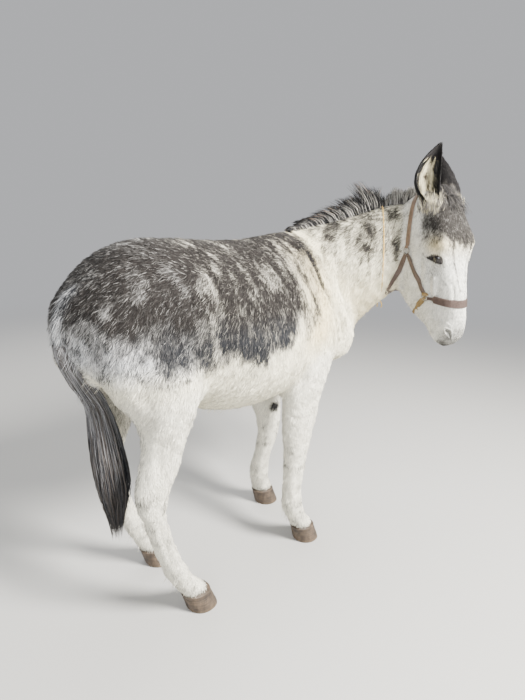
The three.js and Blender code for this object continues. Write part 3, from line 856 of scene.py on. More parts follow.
def painted_crease_shade(body):
    """How deep each place lies in a fold of the hide, from 0 to 1, which sets its painted shade."""
    total = np.zeros(len(body))
    for sides, line, depth, half in FOLDS:
        gap, along = from_line(body[:, [0, 2]], line)
        on_side = np.isin(np.sign(body[:, 1]), sides)
        total += on_side * faded_ends(along) * depth / 10 * bell(gap, 0.6 * half)
    return np.clip(total, 0, 1)


def body_markings(body, normal):
    """Grey above and pale below, streaked down the barrel, with a pale band by the shoulder, and
    painted shadow in the fold beside the dock.
    """
    x, y, z = body.T
    faded = np.interp(x, GREY_EDGE_X, GREY_FADED)
    full = np.interp(x, GREY_EDGE_X, GREY_FULL)
    wander = 38 * noise(body, 70, 3) + 24 * noise(body, 22, 5)
    grey = smooth(faded - 12, full, z + wander)
    grey *= 1 - 0.42 * smooth(90, 170, x + wander) * smooth(1210, 1150, z)
    outward = smooth(-0.5, 0.1, normal[:, 1] * np.sign(y)) * smooth(-0.75, -0.2, normal[:, 2])
    haunch = smooth(-250, -380, x)
    barrel = 1 - haunch
    blotch = noise(body, 42, 11, 3)
    leaning = body @ np.array([[1, 0, 0.35], [0, 1, 0], [0, 0, 1]]).T
    streak = noise(leaning, (19, 60, 85), 17, 2)
    fleck = noise(leaning, (7, 12, 26), 23, 1)
    high = smooth(990, 1110, z)
    mean = 0.9 + haunch * (0.16 * high - 0.03) + 0.05 * barrel * high
    mean -= 0.26 * smooth(-550, -600, x) * smooth(1040, 960, z)
    streaked = 0.42 * barrel + 0.16
    dark = grey * (mean + 0.24 * blotch + streaked * streak + 0.16 * fleck)
    shoulder = smooth(70, 130, x) * smooth(320, 235, x + wander)
    shoulder *= smooth(850, 930, z + wander - 0.4 * (x - 130))
    dark = np.maximum(dark, shoulder * (0.42 + 0.34 * streak + 0.22 * blotch))
    dapple = smooth(0.2, 0.75, noise(body, 34, 29, 2))
    low_haunch = haunch * bell(z - 880, 100)
    dark = dark + 0.6 * low_haunch * dapple + 0.1 * low_haunch
    band = barrel * bell(z - faded - 48, 46) * smooth(110, 20, x) * smooth(-330, -220, x)
    dark = dark + 0.2 * band * (0.7 + 0.5 * blotch)
    dark *= outward
    shade = mixed(SLATE, BROWN, smooth(920, 1030, z + 30 * blotch))
    pale = mixed(WARM, COOL, haunch * smooth(820, 930, z))
    pale = mixed(pale, CREAM, 0.75 * bell(x - 240, 110) * smooth(780, 900, z))
    pale = mixed(pale, ROAN, outward * np.maximum(0.75 * smooth(0, 0.9, grey), 0.4 * shoulder))
    # Painted shadow: a dark line on the rump along the fold beside the dock.
    dock_gap, along = from_line(body[:, [0, 2]], DOCK_CREASE)
    dark += 1.1 * bell(dock_gap, 11) * smooth(0, 0.12, along) * smooth(1, 0.8, along)
    return pale, shade, dark


# The darker patches along the neck's sides.
NECK_PATCHES = [(506, 186, 1294), (498, 247, 1169), (431, 187, 1094), (378, 128, 1165)]
NECK_PATCH_REACH = [38, 60, 48]


def neck_markings(body, on_body):
    """The neck's own markings, which pass into the body's at its base."""
    x, _, z = body.T
    at_base = smooth(320, 230, x + 0.2 * (z - 1100))
    blotch = noise(body, 52, 31, 3)
    streak = noise(body, (16, 16, 60), 37, 2)
    ahead = smooth(310, 430, x + 0.3 * (z - 1150))
    dark = 0.54 * smooth(1060, 1230, z + 40 * blotch) * ahead
    dark += 0.3 * smooth(0.15, 0.7, blotch + 0.35 * streak) * smooth(985, 1100, z) * ahead
    dark += 0.2 * streak * smooth(960, 1120, z)
    for patch in NECK_PATCHES:
        away = np.linalg.norm((on_left(body) - patch) / NECK_PATCH_REACH, axis=1)
        dark += 0.22 * bell(away + 0.3 * blotch, 1)
    dark -= 0.12 * smooth(520, 580, x) * smooth(1160, 1270, z)
    cream = 0.35 * smooth(1150, 950, z) + 0.35 * (1 - ahead)
    own = mixed(WARM, CREAM, cream), mixed(GREY, BROWN, 0.6), dark
    return blended(own, on_body, at_base)


def bare_skin(g):
    """Where the face's dark skin shows, for places in HEAD on the left: lids, nostril, lips."""
    bare = np.zeros(len(g))
    at = eye_places(g)
    close = np.flatnonzero((np.hypot(at[:, 0], at[:, 1]) < 60) & (at[:, 2] > -6))
    local = at[close, :2]
    lid = smooth(1.0, -2.0, outline_gap(local, DARK_LID))
    tail, _ = from_line(local, [(-36, -9), (-52, -2), (-60, 6)])
    bare[close] = np.maximum(lid, 0.8 * bell(tail, 2.6))
    hole, along = from_line(g, NOSTRIL)
    bare = np.maximum(bare, bell(hole, np.interp(along, [0, 0.3, 1], [5.5, 7.5, 3.5])))
    lips, _ = from_line(g, MOUTH)
    return np.maximum(bare, 0.85 * bell(lips, 2.4))


def face_markings(h, body):
    """A dark forehead, painted shadow along the ridge down either side of the nose, a grey muzzle
    and bare dark skin.
    """
    x, y, z = h.T
    blotch = noise(body, 26, 41, 3)
    fleck = noise(body, (9, 9, 16), 43, 2)
    side = np.abs(y)
    forehead = smooth(200, 122, x + 0.3 * (side - 50) + 16 * blotch)
    forehead *= smooth(124, 76, side + 10 * blotch) * smooth(-100, -60, z)
    g = on_left(h)
    by_ear = bell(np.linalg.norm(g - [34, 62, -60], axis=1), 36) * smooth(20, 44, side)
    dark = forehead * (1.12 + 0.14 * blotch + 0.12 * fleck) * (1 - by_ear)
    dark += 0.12 * smooth(0.0, 0.7, fleck) + 0.06
    # Painted shadow: a dark line along the ridge down either side of the nose.
    ridge = np.interp(x, [110, 190, 260, 314, 369, 420], [68, 58, 30, 20, 13, 10])
    line = bell(side - ridge, np.interp(x, [120, 300], [8, 4]))
    line *= smooth(105, 135, x) * smooth(400, 360, x) * smooth(-30, 0, z)
    dark += np.interp(x, [130, 300], [0.75, 0.4]) * line * (1 + 0.4 * fleck)
    dark += 0.16 * bell(side - 95, 30) * bell(x - 265, 40) * bell(z + 60, 60) * (1 + blotch)
    dark += 0.15 * smooth(0.1, 0.6, blotch) * smooth(-40, -110, z) * smooth(250, 100, x)
    nose = smooth(455, 500, x + 0.35 * z + 20 + 8 * blotch) * smooth(-105, -75, z)
    dark += 0.46 * nose
    lips = smooth(500, 525, x + 5 * blotch) * smooth(-60, -90, z)
    dark += 0.42 * lips
    pale = mixed(FACE_PALE, CREAM, 0.85 * bell(x - 158, 40) * bell(z + 22, 48))
    pale = mixed(pale, ROAN, 0.7 * forehead)
    shade = mixed(GREY, BROWN, 0.65)
    bare = bare_skin(g)
    return mixed(pale, CHARCOAL, bare), mixed(shade, CHARCOAL, bare), np.clip(dark, 0, 1)


def leg_markings(body, normal):
    """Pale, with faint patches at the joints, dark at the coronets, the fore chestnuts, and painted
    shade inside the hind legs.
    """
    x, y, z = body.T
    blotch = noise(body, 30, 47, 3)
    fore = x > 0
    joint = np.where(fore, bell(z - 370, 70), bell(z - 470, 90)) + 0.7 * bell(z - 170, 60)
    dark = 0.5 * smooth(-0.15, 0.95, blotch) * joint + 0.07 * smooth(0.1, 0.8, blotch)
    dark += 0.45 * smooth(110, 78, z)
    # Painted shade on the inner sides of the hind legs, where they face each other.
    outward = normal[:, 1] * np.sign(y)
    dark += 0.25 * smooth(0.3, -0.3, outward) * ~fore * smooth(300, 500, z)
    chestnut = smooth(27, 16, np.hypot(z - 507, 0.7 * (x - np.where(y > 0, 333, 224))))
    dark += 1.2 * chestnut * smooth(0.1, -0.5, outward) * fore
    return mixed(WARM, COOL, 0.35), mixed(SLATE, BROWN, 0.5), dark


def dock_markings(body):
    z = body[:, 2]
    streak = noise(body, (9, 9, 40), 53, 2)
    dark = 0.2 + 0.3 * streak + 0.5 * smooth(980, 1050, z) + 0.3 * smooth(850, 780, z)
    return COOL, SLATE, dark


def markings(body, share, normal):
    """Pale colour, dark colour and the share of dark hair at each place."""
    on_body, on_leg = body_markings(body, normal), leg_markings(body, normal)
    by_region = [
        on_body,
        neck_markings(body, on_body),
        face_markings(head_of(body), body),
        dock_markings(body),
        blended(on_leg, on_body, smooth(760, 880, body[:, 2])),
        on_leg,
    ]
    pale = sum(share[:, k, None] * kind[0] for k, kind in enumerate(by_region))
    # Painted shade: the pale hair is down to half as bright in the folds of the hide.
    pale = pale * (1 - 0.5 * painted_crease_shade(body)[:, None])
    shade = sum(share[:, k, None] * kind[1] for k, kind in enumerate(by_region))
    dark = sum(share[:, k] * kind[2] for k, kind in enumerate(by_region))
    gap, along = from_line(body[:, [0, 2]], SHOULDER_STRIPE)
    stripe = bell(gap, 12 - 4 * along) * smooth(1.0, 0.5, along)
    stripe = stripe * (1 - of_region(share, "head"))
    dark = dark + 0.8 * stripe
    shade = mixed(shade, CHARCOAL, np.clip(stripe, 0, 1))
    return pale, shade, np.clip(dark, 0, 1)


# ------------------------------------------------------------------ the lie of the coat

# By region, lengths in millimetres.
HAIR_LONG = np.array([20.0, 20.0, 9.0, 22.0, 18.0, 14.0])
HAIR_WIDE = np.array([2.5, 2.5, 1.85, 2.5, 2.5, 2.2])
HAIR_LAYERS = np.array([1.9, 2.0, 1.4, 2.9, 1.95, 1.75])  # tufts lying over each place
TUFTS_IN_PIECE = 49000
TUFT_SPREAD = 0.3  # how far neighbouring tufts differ in their way, in radians


def lie_of_hair(body, normal, share):
    """The way that the hair runs at each place, along the skin."""
    x, _, z = body.T
    zero = 0 * z
    down = smooth(1180, 800, z)
    side_on = smooth(0.85, 0.35, np.abs(normal[:, 2]))
    trunk = np.stack([zero - 1, zero, -0.15 - (0.7 + 0.7 * down) * side_on], 1)
    breast = smooth(330, 480, x)[:, None]
    trunk = trunk * (1 - breast) + breast * np.array([-0.2, 0.0, -1.0])
    neck = np.tile([-0.45, 0.35, -0.75], (len(body), 1))
    h = head_of(body)
    cheek = smooth(-40, -160, h[:, 2])
    face = np.stack([1 - 0.4 * cheek, zero, -0.2 - 0.6 * cheek], 1) @ HEAD_AXES.T
    dock = np.tile([0.0, 0.0, -1.0], (len(body), 1))
    upper = np.stack([-0.55 * smooth(500, 900, z) - 0.1, zero, zero - 1], 1)
    lower = np.tile([-0.12, 0.0, -1.0], (len(body), 1))
    flow = sum(share[:, k, None] * unit(f) for k, f in enumerate(
        [trunk, neck, face, dock, upper, lower]))
    swirl = np.stack([noise(body, 90, 60 + k, 2) for k in range(3)], 1)
    tousle = np.stack([noise(body, 19, 160 + k, 1) for k in range(3)], 1)
    flow = flow + 0.26 * swirl + 0.22 * tousle * (1 - 0.5 * of_region(share, "head")[:, None])
    return unit(flow - normal * (flow * normal).sum(1)[:, None])


def tufts(name, root, normal, flow, long, wide, rise, base, tip, uv):
    """Thin closed tufts lying along a surface, split into pieces that stay small enough."""
    count = len(root)
    flow = unit(flow + rng.normal(0, TUFT_SPREAD, (count, 1)) * unit(np.cross(normal, flow)))
    side = unit(np.cross(flow, normal))
    long, wide, rise = (v[:, None] for v in (long, wide, rise))
    lit = unit(normal + rng.normal(0, 0.16, (count, 3)))
    corners = np.stack([
        root - side * wide / 2 - normal * wide * 0.35,
        root + side * wide / 2 - normal * wide * 0.35,
        root - flow * wide * 0.4 + normal * (wide * 0.3 + rise * 0.15),
        root + flow * long + normal * rise,
    ], 1)
    normals = np.stack([
        unit(lit - side * 0.55), unit(lit + side * 0.55), lit, unit(lit + flow * 0.35),
    ], 1)
    paint = np.stack([base, base, base * 0.6 + tip * 0.4, tip], 1)
    at = np.stack([uv, uv + [PATCH, 0], uv + [PATCH / 2, PATCH / 3], uv + [PATCH / 2, PATCH]], 1)
    shape = np.array([(0, 1, 2), (0, 2, 3), (2, 1, 3), (1, 0, 3)])
    pieces = max(1, math.ceil(count / TUFTS_IN_PIECE))
    for k in range(pieces):
        lo, hi = count * k // pieces, count * (k + 1) // pieces
        faces = (np.arange(hi - lo)[:, None, None] * 4 + shape).reshape(-1, 3)
        loops = at[lo:hi].reshape(-1, 2)[faces.ravel()]
        make_piece(
            f"{name}_{k + 1}", corners[lo:hi].reshape(-1, 3), faces, COAT,
            paint=paint[lo:hi].reshape(-1, 3), uv=loops, normals=normals[lo:hi].reshape(-1, 3),
        )


def scattered(co, tri, per_area):
    """Random places on triangles: each one's face and its three corner weights."""
    a, b, c = (co[tri[:, k]] for k in range(3))
    area = np.linalg.norm(np.cross(b - a, c - a), axis=1) / 2 * 1e6
    number = rng.poisson(area * per_area[tri].mean(axis=1))
    face = np.repeat(np.arange(len(tri)), number)
    u, v = rng.random((2, len(face)))
    over = u + v > 1
    u, v = np.where(over, 1 - u, u), np.where(over, 1 - v, v)
    return face, np.stack([1 - u - v, u, v], 1)


def carried(values, tri, face, weight):
    """Values at corners carried to scattered places."""
    return np.einsum("ij,ij...->i...", weight, values[tri[face]])


# ------------------------------------------------------------------ the coat

normal = corner_normals(co, tri)
body = to_body(co)
h = head_of(body)
pale, shade, dark = markings(body, share, normal)
# The skin, seen between the tufts, takes the coat's colours at 0.72 as bright: painted shade under
# the hair.
skin_paint = mixed(pale, shade, np.clip(1.15 * dark, 0, 1)) * 0.72
chart_ids = nearest_chart[tri[:, 0]]
face_middles = body[tri].mean(axis=1)
loop_uv = unwrapped(np.repeat(chart_ids, 3), np.repeat(face_middles, 3, 0), body[tri.ravel()])
skin = make_piece("skin", co, tri, SKIN, paint=skin_paint, uv=loop_uv)
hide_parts(*FLESH)

flow = lie_of_hair(body, normal, share)
hair_long, hair_wide = share @ HAIR_LONG, share @ HAIR_WIDE
muzzle = by_head * smooth(400, 500, h[:, 0])
hair_long *= 1 - 0.5 * muzzle
hair_wide *= 1 - 0.25 * muzzle
bare = by_head * bare_skin(on_left(h))
by_eye = bell(np.linalg.norm(eye_places(on_left(h)), axis=1), 38)
hair_long *= 1 - 0.4 * by_head * by_eye
per_area = (share @ HAIR_LAYERS) / (0.5 * hair_long * hair_wide) * (1 - 0.45 * muzzle)
per_area *= 1 - smooth(0.35, 0.7, bare)
face, weight = scattered(co, tri, per_area)
order = np.argsort(chart_ids[face], kind="stable")
face, weight = face[order], weight[order]
root = carried(co, tri, face, weight)
root_body = to_body(root)
root_normal = unit(carried(normal, tri, face, weight))
root_flow = unit(carried(flow, tri, face, weight))
root_share = carried(share, tri, face, weight)
root_pale, root_shade, root_dark = markings(root_body, root_share, root_normal)
luck = rng.random(len(face))
roan = np.clip((root_dark - luck) * 1.7 + 0.5, 0, 1) * smooth(0.03, 0.12, root_dark)
salt = rng.random(len(face)) < 0.05
dulled = np.where(salt, 0.35, 0.9) * smooth(0.3, 1.0, root_dark)
light_hair = mixed(root_pale, ASH, dulled)
by_face = of_region(root_share, "head")[:, None]
tone = 1 + rng.normal(0, 1, (len(face), 1)) * (0.13 + 0.05 * by_face)
tone += 0.1 * noise(root_body, 24, 151, 2)[:, None]
tone += 0.09 * noise(root_body, (7, 7, 16), 153, 1)[:, None]
tip_colour = mixed(light_hair, root_shade, roan * np.where(salt, 0.4, 1)) * tone
# Roots: the roan's dark hair where it is roan, and painted shade deep in the coat, half as bright.
root_colour_with_shade = mixed(root_pale, root_shade, np.clip(0.4 * roan + 0.7 * root_dark, 0, 1)) * 0.5
lengths = carried(hair_long, tri, face, weight) * rng.uniform(0.75, 1.25, len(face))
widths = carried(hair_wide, tri, face, weight) * rng.uniform(0.8, 1.2, len(face))
rises = carried(depth, tri, face, weight) * rng.uniform(0.45, 1.05, len(face))
root_uv = unwrapped(chart_ids[face], root_body, root_body)
for k, chart in enumerate(CHART_NAMES):
    mine = np.flatnonzero(chart_ids[face] == k)
    tufts(
        f"coat_{chart}",
        root[mine], root_normal[mine], root_flow[mine], lengths[mine] / 1000,
        widths[mine] / 1000, rises[mine] / 1000, root_colour_with_shade[mine], tip_colour[mine],
        root_uv[mine],
    )

# ------------------------------------------------------------------ mane and tail

CREST = [
    (170, 0, 1190), (281, -2, 1232), (340, -18, 1247), (400, -46, 1262), (505, -133, 1300),
    (572, -216, 1336), (628, -280, 1350), (652, -345, 1352),
]
THROAT = [
    (330, 0, 690), (520, -25, 765), (578, -72, 815), (585, -122, 848), (575, -188, 909),
    (592, -230, 952), (628, -262, 992), (660, -300, 1066),
]
CORD_PLACE = 0.714  # along the neck, from withers to poll
# Along the crest: how high the mane stands, and how far it leans back for each step up.
MANE = [
    (0.14, 12, 2.2), (0.26, 30, 2.0), (0.38, 44, 1.6), (0.5, 60, 1.1), (0.59, 86, 0.75),
    (0.65, 108, 0.5), (0.68, 96, 0.4), (0.7, 56, 0.3), (CORD_PLACE, 18, 0.3), (0.73, 34, 0.2),
    (0.79, 58, 0.1), (0.86, 64, 0.1), (0.93, 54, 0.0),
]
MANE_HALF_WIDE = 13
MANE_DEPTH = 12  # how far below the crest its roots lie
MANE_LOCKS, MANE_STRANDS = 120, 4300
NECK_STEP = 0.02


def neck_middle(t):
    return along_curve(CREST, t) * 0.56 + along_curve(THROAT, t) * 0.44


def neck_frame(t):
    """The crest's place, and the ways up and left there."""
    crest = along_curve(CREST, t)
    up = unit(crest - along_curve(THROAT, t))
    behind = neck_middle(np.maximum(t - NECK_STEP, 0))
    left = unit(np.cross(up, neck_middle(np.minimum(t + NECK_STEP, 1)) - behind))
    return crest, up, left


def grow_mane():
    """A short upright mane in locks, pinched where the twine goes over it."""
    locks, count = MANE_LOCKS, MANE_STRANDS
    lock_at = np.sort(rng.uniform(MANE[0][0], MANE[-1][0], locks))
    lock_size = rng.uniform(0.5, 1.05, locks)
    lock_lean = rng.normal(0, 0.3, locks)
    lock_side = rng.normal(0, 0.18, locks)
    mine = rng.integers(0, locks, count)
    place = np.clip(lock_at[mine] + rng.normal(0, 0.011, count), MANE[0][0], MANE[-1][0])
    crest, up, left = neck_frame(place)
    back = np.cross(up, left)
    ahead = along_curve(CREST, place + NECK_STEP) - crest
    back *= -np.sign((back * ahead).sum(1))[:, None]
    high, lean = sizes_at(MANE, place).T
    high = high * lock_size[mine] * rng.uniform(0.72, 1.0, count)
    tip_high = sizes_at(MANE, lock_at[mine])[:, 0] * lock_size[mine]
    reach = np.where(rng.random(count) < 0.5, high, tip_high)
    across = np.clip(rng.normal(0, 0.5, count), -1, 1) * MANE_HALF_WIDE
    steps = np.linspace(0, 1, 5)[None, :, None]
    rise = reach[:, None, None] * steps
    slant = (lean + lock_lean[mine])[:, None, None]
    lengthen = 1 / np.sqrt(1 + 0.35 * slant**2)
    wave = rng.normal(0, 0.05, (count, 1, 1)) * reach[:, None, None] * np.sin(steps * 3)
    paths = (
        (crest - up * MANE_DEPTH + left * across[:, None])[:, None]
        + up[:, None] * (MANE_DEPTH * (steps > 0) + rise * lengthen)
        + back[:, None] * (rise * slant * lengthen * (0.45 + 0.55 * steps) + wave)
        + left[:, None] * (
            -across[:, None, None] * 0.75 * steps + rise * lock_side[mine][:, None, None]
        )
    )
    luck = rng.random((count, 1))
    nape = smooth(CORD_PLACE, CORD_PLACE + 0.05, place)[:, None]
    pale = srgb(150, 147, 140) * rng.normal(1, 0.16, (count, 1))
    dark = srgb(20, 19, 20) * rng.uniform(0.6, 1.5, (count, 1))
    brown = srgb(112, 88, 70)
    root = np.where(luck < 0.7 - 0.4 * nape, dark * 1.3, pale * (0.9 - 0.1 * nape))
    tip = np.where(luck > 0.93, brown, dark)
    tip = np.where(luck + 0.75 * nape > 0.97, pale * rng.uniform(0.5, 1, (count, 1)), tip)
    wide = rng.uniform(1.5, 2.5, count) / 1000
    uv = np.stack([0.51 + 0.23 * place, 0.455 + 0.004 * (across / MANE_HALF_WIDE)], 1)
    mane = strands("mane_hair", to_frame(paths), wide, root, tip, uv, HAIR)
    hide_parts("mane")


# Down the tail, by its height below 0: the middle's x and y, then its reach fore and aft, and
# its half width.
TAIL = [
    (-1000, -620, 0, 34, 35), (-900, -604, -1, 40, 36), (-828, -570, -3, 38, 34),
    (-755, -532, -6, 33, 33), (-722, -526, -9, 36, 36), (-600, -509, -18, 49, 48),
    (-470, -497, -21, 49, 48), (-375, -491, -20, 36, 37), (-330, -490, -18, 26, 28),
]


TAIL_LOCKS, TAIL_STRANDS = 52, 1950


def grow_tail():
    """The tail's long hair, in locks that gather towards their uneven ends."""
    locks, count = TAIL_LOCKS, TAIL_STRANDS
    lock_turn = rng.uniform(0, 2 * np.pi, locks)
    lock_out = np.sqrt(rng.uniform(0.05, 1, locks))
    lock_end = rng.uniform(292, 420, locks)
    mine = rng.integers(0, locks, count)
    turn = lock_turn[mine] + rng.normal(0, 0.35, count)
    out = np.clip(lock_out[mine] + rng.normal(0, 0.13, count), 0.05, 1.0)
    start = rng.uniform(735, 950, count)
    end = lock_end[mine] + np.abs(rng.normal(0, 28, count))
    short = rng.random(count) < 0.22
    end = np.where(short, rng.uniform(420, 640, count), end)
    steps = np.linspace(0, 1, 10)[None, :]
    height = start[:, None] + (end - start)[:, None] * steps
    x, y, deep, half = sizes_at(TAIL, -height.ravel()).T.reshape(4, count, -1)
    fallen = start[:, None] - height
    spread = 0.7 + (out[:, None] - 0.7) * smooth(20, 220, fallen)
    gather = 1 - 0.35 * smooth(0.75, 1, steps)
    phase = rng.uniform(0, 6.28, locks)[mine][:, None] + rng.normal(0, 0.4, (count, 1))
    sway = 4.5 * np.sin(height / 46 + phase) * smooth(0, 120, fallen)
    ahead = np.cos(turn)[:, None] * deep * spread * gather + sway
    aside = np.sin(turn)[:, None] * half * spread * gather + 0.6 * sway
    paths = np.stack([x + ahead, y + aside, height], -1)
    luck = rng.random((count, 1))
    fore = smooth(-0.5, 0.8, np.cos(turn))[:, None]
    slate = srgb(22, 23, 27) * rng.uniform(0.5, 1.4, (count, 1))
    hazel = srgb(62, 57, 54) * rng.uniform(0.6, 1.3, (count, 1))
    grey = srgb(140, 139, 140) * rng.uniform(0.6, 1.15, (count, 1))
    body_colour = np.where(luck < 0.5 + 0.45 * fore, slate, hazel)
    body_colour = np.where(luck > 0.985, grey, body_colour)
    high_root = smooth(770, 880, start)[:, None]
    greyed = high_root[:, 0] * np.where(luck[:, 0] < 0.55, 0.7, 0.15)
    root = mixed(body_colour, grey * 1.1, greyed)
    uv = np.stack([0.765 + 0.09 * (turn % 6.283) / 6.283, 0.02 + (start - 735) / 2000], 1)
    wide = rng.uniform(2.2, 3.6, count) / 1000
    tail = strands("tail_hair", to_frame(paths), wide, root, body_colour, uv, HAIR)
    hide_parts("tail_switch")


grow_mane()
grow_tail()

# ------------------------------------------------------------------ headcollar and twine

def striped_material(name, waves, colour_share, bump, roughness, **sockets):
    """Painted colour with fine slanting ribs over the piece's own run map, and some grain."""
    material = painted_material(name, 210, 0.22, 0.0004, roughness=roughness, **sockets)
    shader = material.node_tree.nodes["Principled BSDF"]
    links = material.node_tree.links
    painted = shader.inputs["Base Color"].links[0].from_socket
    grained = shader.inputs["Normal"].links[0].from_socket
    run = node(material, "ShaderNodeUVMap", uv_map="run")
    ribs = node(
        material, "ShaderNodeTexWave", {"Vector": run.outputs["UV"], "Scale": waves},
        wave_type="BANDS", bands_direction="DIAGONAL",
    )
    shade = node(
        material, "ShaderNodeMapRange",
        {"Value": ribs.outputs["Fac"], "To Min": 1 - colour_share, "To Max": 1 + colour_share},
    )
    striped = node(
        material, "ShaderNodeVectorMath", {0: painted, "Scale": shade.outputs["Result"]},
        operation="SCALE",
    )
    links.new(striped.outputs["Vector"], shader.inputs["Base Color"])
    raised = node(
        material, "ShaderNodeBump",
        {"Height": ribs.outputs["Fac"], "Strength": 1.0, "Distance": bump, "Normal": grained},
    )
    links.new(raised.outputs["Normal"], shader.inputs["Normal"])
    return material


LEATHER = painted_material(
    "leather", 170, 0.28, 0.0007, roughness=0.52, Specular_IOR_Level=0.4
)
WEBBING = striped_material("webbing", 210, 0.1, 0.0005, 0.85, Specular_IOR_Level=0.2)
TWINE = painted_material("twine", 900, 0.3, 0.0004, roughness=0.85, Specular_IOR_Level=0.2)
STEEL = painted_material("ring_steel", 130, 0.14, 0.0002, roughness=0.32, Metallic=1.0)

UPPER_RING = np.array([168.0, 0.0, -157.0])
CHEEK_RING = np.array([345.0, 0.0, -116.0])
POLL = np.array([-50.0, 0.0, -112.0])
NOSE_FRONT = np.array([398.0, 0.0, 34.0])
UNDER_THROAT = np.array([344.0, 0.0, -298.0])
UNDER_CHIN = np.array([420.0, 0.0, -228.0])
RING_RADIUS = 13.2
RING_WIRE = 2.3
ABOVE_SKIN = 3.6  # where a strap lies, pressed into the coat
STITCH_GAP = 5.2
STRAP_STEPS = 72
LEFT = np.array([0.0, 1.0, 0.0])


def skin_from_inside(start, way):
    """Where a ray in HEAD from inside the head leaves it."""
    world = HEAD_AXES @ way
    hit = SKIN_TREE.ray_cast(Vector(to_frame(body_of_head(start))), Vector(world))[0]
    return head_of(to_body(np.array(hit)))


def strap_path(start, end, wide, arc, side=1):
    """Across each step: where three lines of a strap lie on the head, in HEAD.

    An arc goes from the right of start, round by the way to end, to its left. Otherwise the
    strap runs straight down one side, from start to end.
    """
    run = unit(end - start)
    over = np.cross(run, LEFT)
    rows = []
    for t in np.linspace(0, 1, STRAP_STEPS):
        if arc:
            turn = math.pi * (t - 0.5)
            way, place = math.cos(turn) * run + math.sin(turn) * LEFT, start
        else:
            way, place = side * LEFT, start * (1 - t) + end * t
        rows.append([skin_from_inside(place + over * wide * k, way) for k in (-0.4, 0, 0.4)])
    return np.array(rows)


def evened(rows, steps, trim=0.0):
    """Rows along a strap, evenly spaced and smoothed, a little short of its ends."""
    gap = np.linalg.norm(np.diff(rows[:, 1], axis=0), axis=1)
    at = np.append(0, np.cumsum(gap))
    even = np.linspace(trim, at[-1] - trim, steps)
    out = np.stack([
        np.stack([np.interp(even, at, rows[:, k, j]) for j in range(3)], 1) for k in range(3)
    ], 1)
    for _ in range(6):
        out[1:-1] = (out[:-2] + 2 * out[1:-1] + out[2:]) / 4
    return out, even


def strap_ways(rows, inside):
    """A strap's middle line, and the ways across it, along it and out from a place inside."""
    centre, across = rows.mean(1), unit(rows[:, 2] - rows[:, 0])
    run = unit(np.gradient(centre, axis=0))
    out = unit(np.cross(run, across))
    out *= np.sign((out * (centre - inside)).sum())
    return centre, across, run, out


def strap_section(wide, thick, count):
    """Rounded flat outline, for each of count rings; wide and thick may vary."""
    edge = np.array([
        (-0.5, 0.35), (-0.49, 0.7), (-0.46, 0.93), (-0.42, 1.0), (-0.2, 1.03), (0, 1.05),
        (0.2, 1.03), (0.42, 1.0), (0.46, 0.93), (0.49, 0.7), (0.5, 0.35), (0.47, 0.05), (0.4, 0),
        (0, 0), (-0.4, 0), (-0.47, 0.05),
    ])
    size = np.stack([np.broadcast_to(wide, count), np.broadcast_to(thick, count)], 1)
    return edge[None] * size[:, None]


STITCHES = []


def lay_strap(name, material, rows, node_name, wide, thick, colour, lift=0.0, steps=110):
    """A stitched strap over the head, raised where it passes over the ring at either end.

    wide gives its width for a distance from the nearer ring's middle.
    """
    rows, even = evened(rows, steps, RING_RADIUS - 3.5)
    centre, _, run, out = strap_ways(rows, [200, 0, -110])
    across = np.cross(out, run)
    ring_gap = np.minimum(even, even[0] + even[-1] - even)
    over_wire = 4.6 * bell(ring_gap - RING_RADIUS, 4.2)
    lifted = centre + out * (ABOVE_SKIN + lift + over_wire)[:, None]
    girth = wide(ring_gap)
    section = strap_section(girth, thick, steps)
    co, faces = sweep(lifted, across, out, section)
    sides = section.shape[1]
    worn = noise(co, (12, 12, 12), 113, 3)
    edge = np.tile(np.abs(strap_section(1, 1, 1)[0][:, 0]) > 0.45, steps)
    tone = 1 + 0.22 * worn[: len(edge)] + 0.3 * edge
    paint = colour * np.append(tone, [1, 1])[:, None]
    run_uv = np.column_stack([np.repeat(even, sides), section[:, :, 0].ravel()]) / 1000
    run_uv = np.vstack([run_uv, run_uv[:1], run_uv[-1:]])
    faces = facing_out(co, faces)
    piece = make_piece(
        name, to_frame(body_of_head(co)), faces, material, paint=paint,
    )
    layer = piece.data.uv_layers.new(name="run")
    layer.data.foreach_set("uv", run_uv[faces.ravel()].astype(np.float32).ravel())
    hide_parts(node_name)
    spots = np.arange(even[0] + 10, even[-1] - 10, STITCH_GAP)
    places, outs, acrosses, runs = (
        np.stack([np.interp(spots, even, v[:, j]) for j in range(3)], 1)
        for v in (lifted, out, across, run)
    )
    for edge_at in (-0.38, 0.38):
        beside = acrosses * (edge_at * np.interp(spots, even, girth))[:, None]
        STITCHES.append((places + beside + outs * thick, unit(outs), runs, colour))


# Down a stitch: how far along the strap and out of it its thread lies, and how thick it is.
STITCH = np.array([
    (-1.7, -0.5, 0.35), (-0.85, 0.15, 0.85), (0, 0.4, 1.0), (0.85, 0.15, 0.85), (1.7, -0.5, 0.35),
])
THREAD_RADIUS = 0.55


def sew():
    """All the stitches as one mesh: short rounded threads lying along the straps."""
    parts, paints = [], []
    along, arch, shape = STITCH.T[:, :, None]
    section = circle(6, THREAD_RADIUS) * shape[:, None]
    for places, outs, runs, colour in STITCHES:
        thread_colour = np.clip(colour * 1.5 + 0.05, 0, 1)
        for place, out, run in zip(places, outs, runs):
            across = np.tile(np.cross(run, out), (len(STITCH), 1))
            path = place + along * run + arch * out
            co, faces = sweep(path, across, np.tile(out, (len(STITCH), 1)), section)
            parts.append((co, facing_out(co, faces)))
            paints.append(np.tile(thread_colour, (len(co), 1)))
    co, faces = joined(parts)
    make_piece(
        "stitching", to_frame(body_of_head(co)), faces, TWINE,
        paint=np.concatenate(paints),
    )


FINE = 1.3  # how close together the places along a small piece of twine are
LAY = 7.0  # how long one turn of the twine's strands is, over its radius


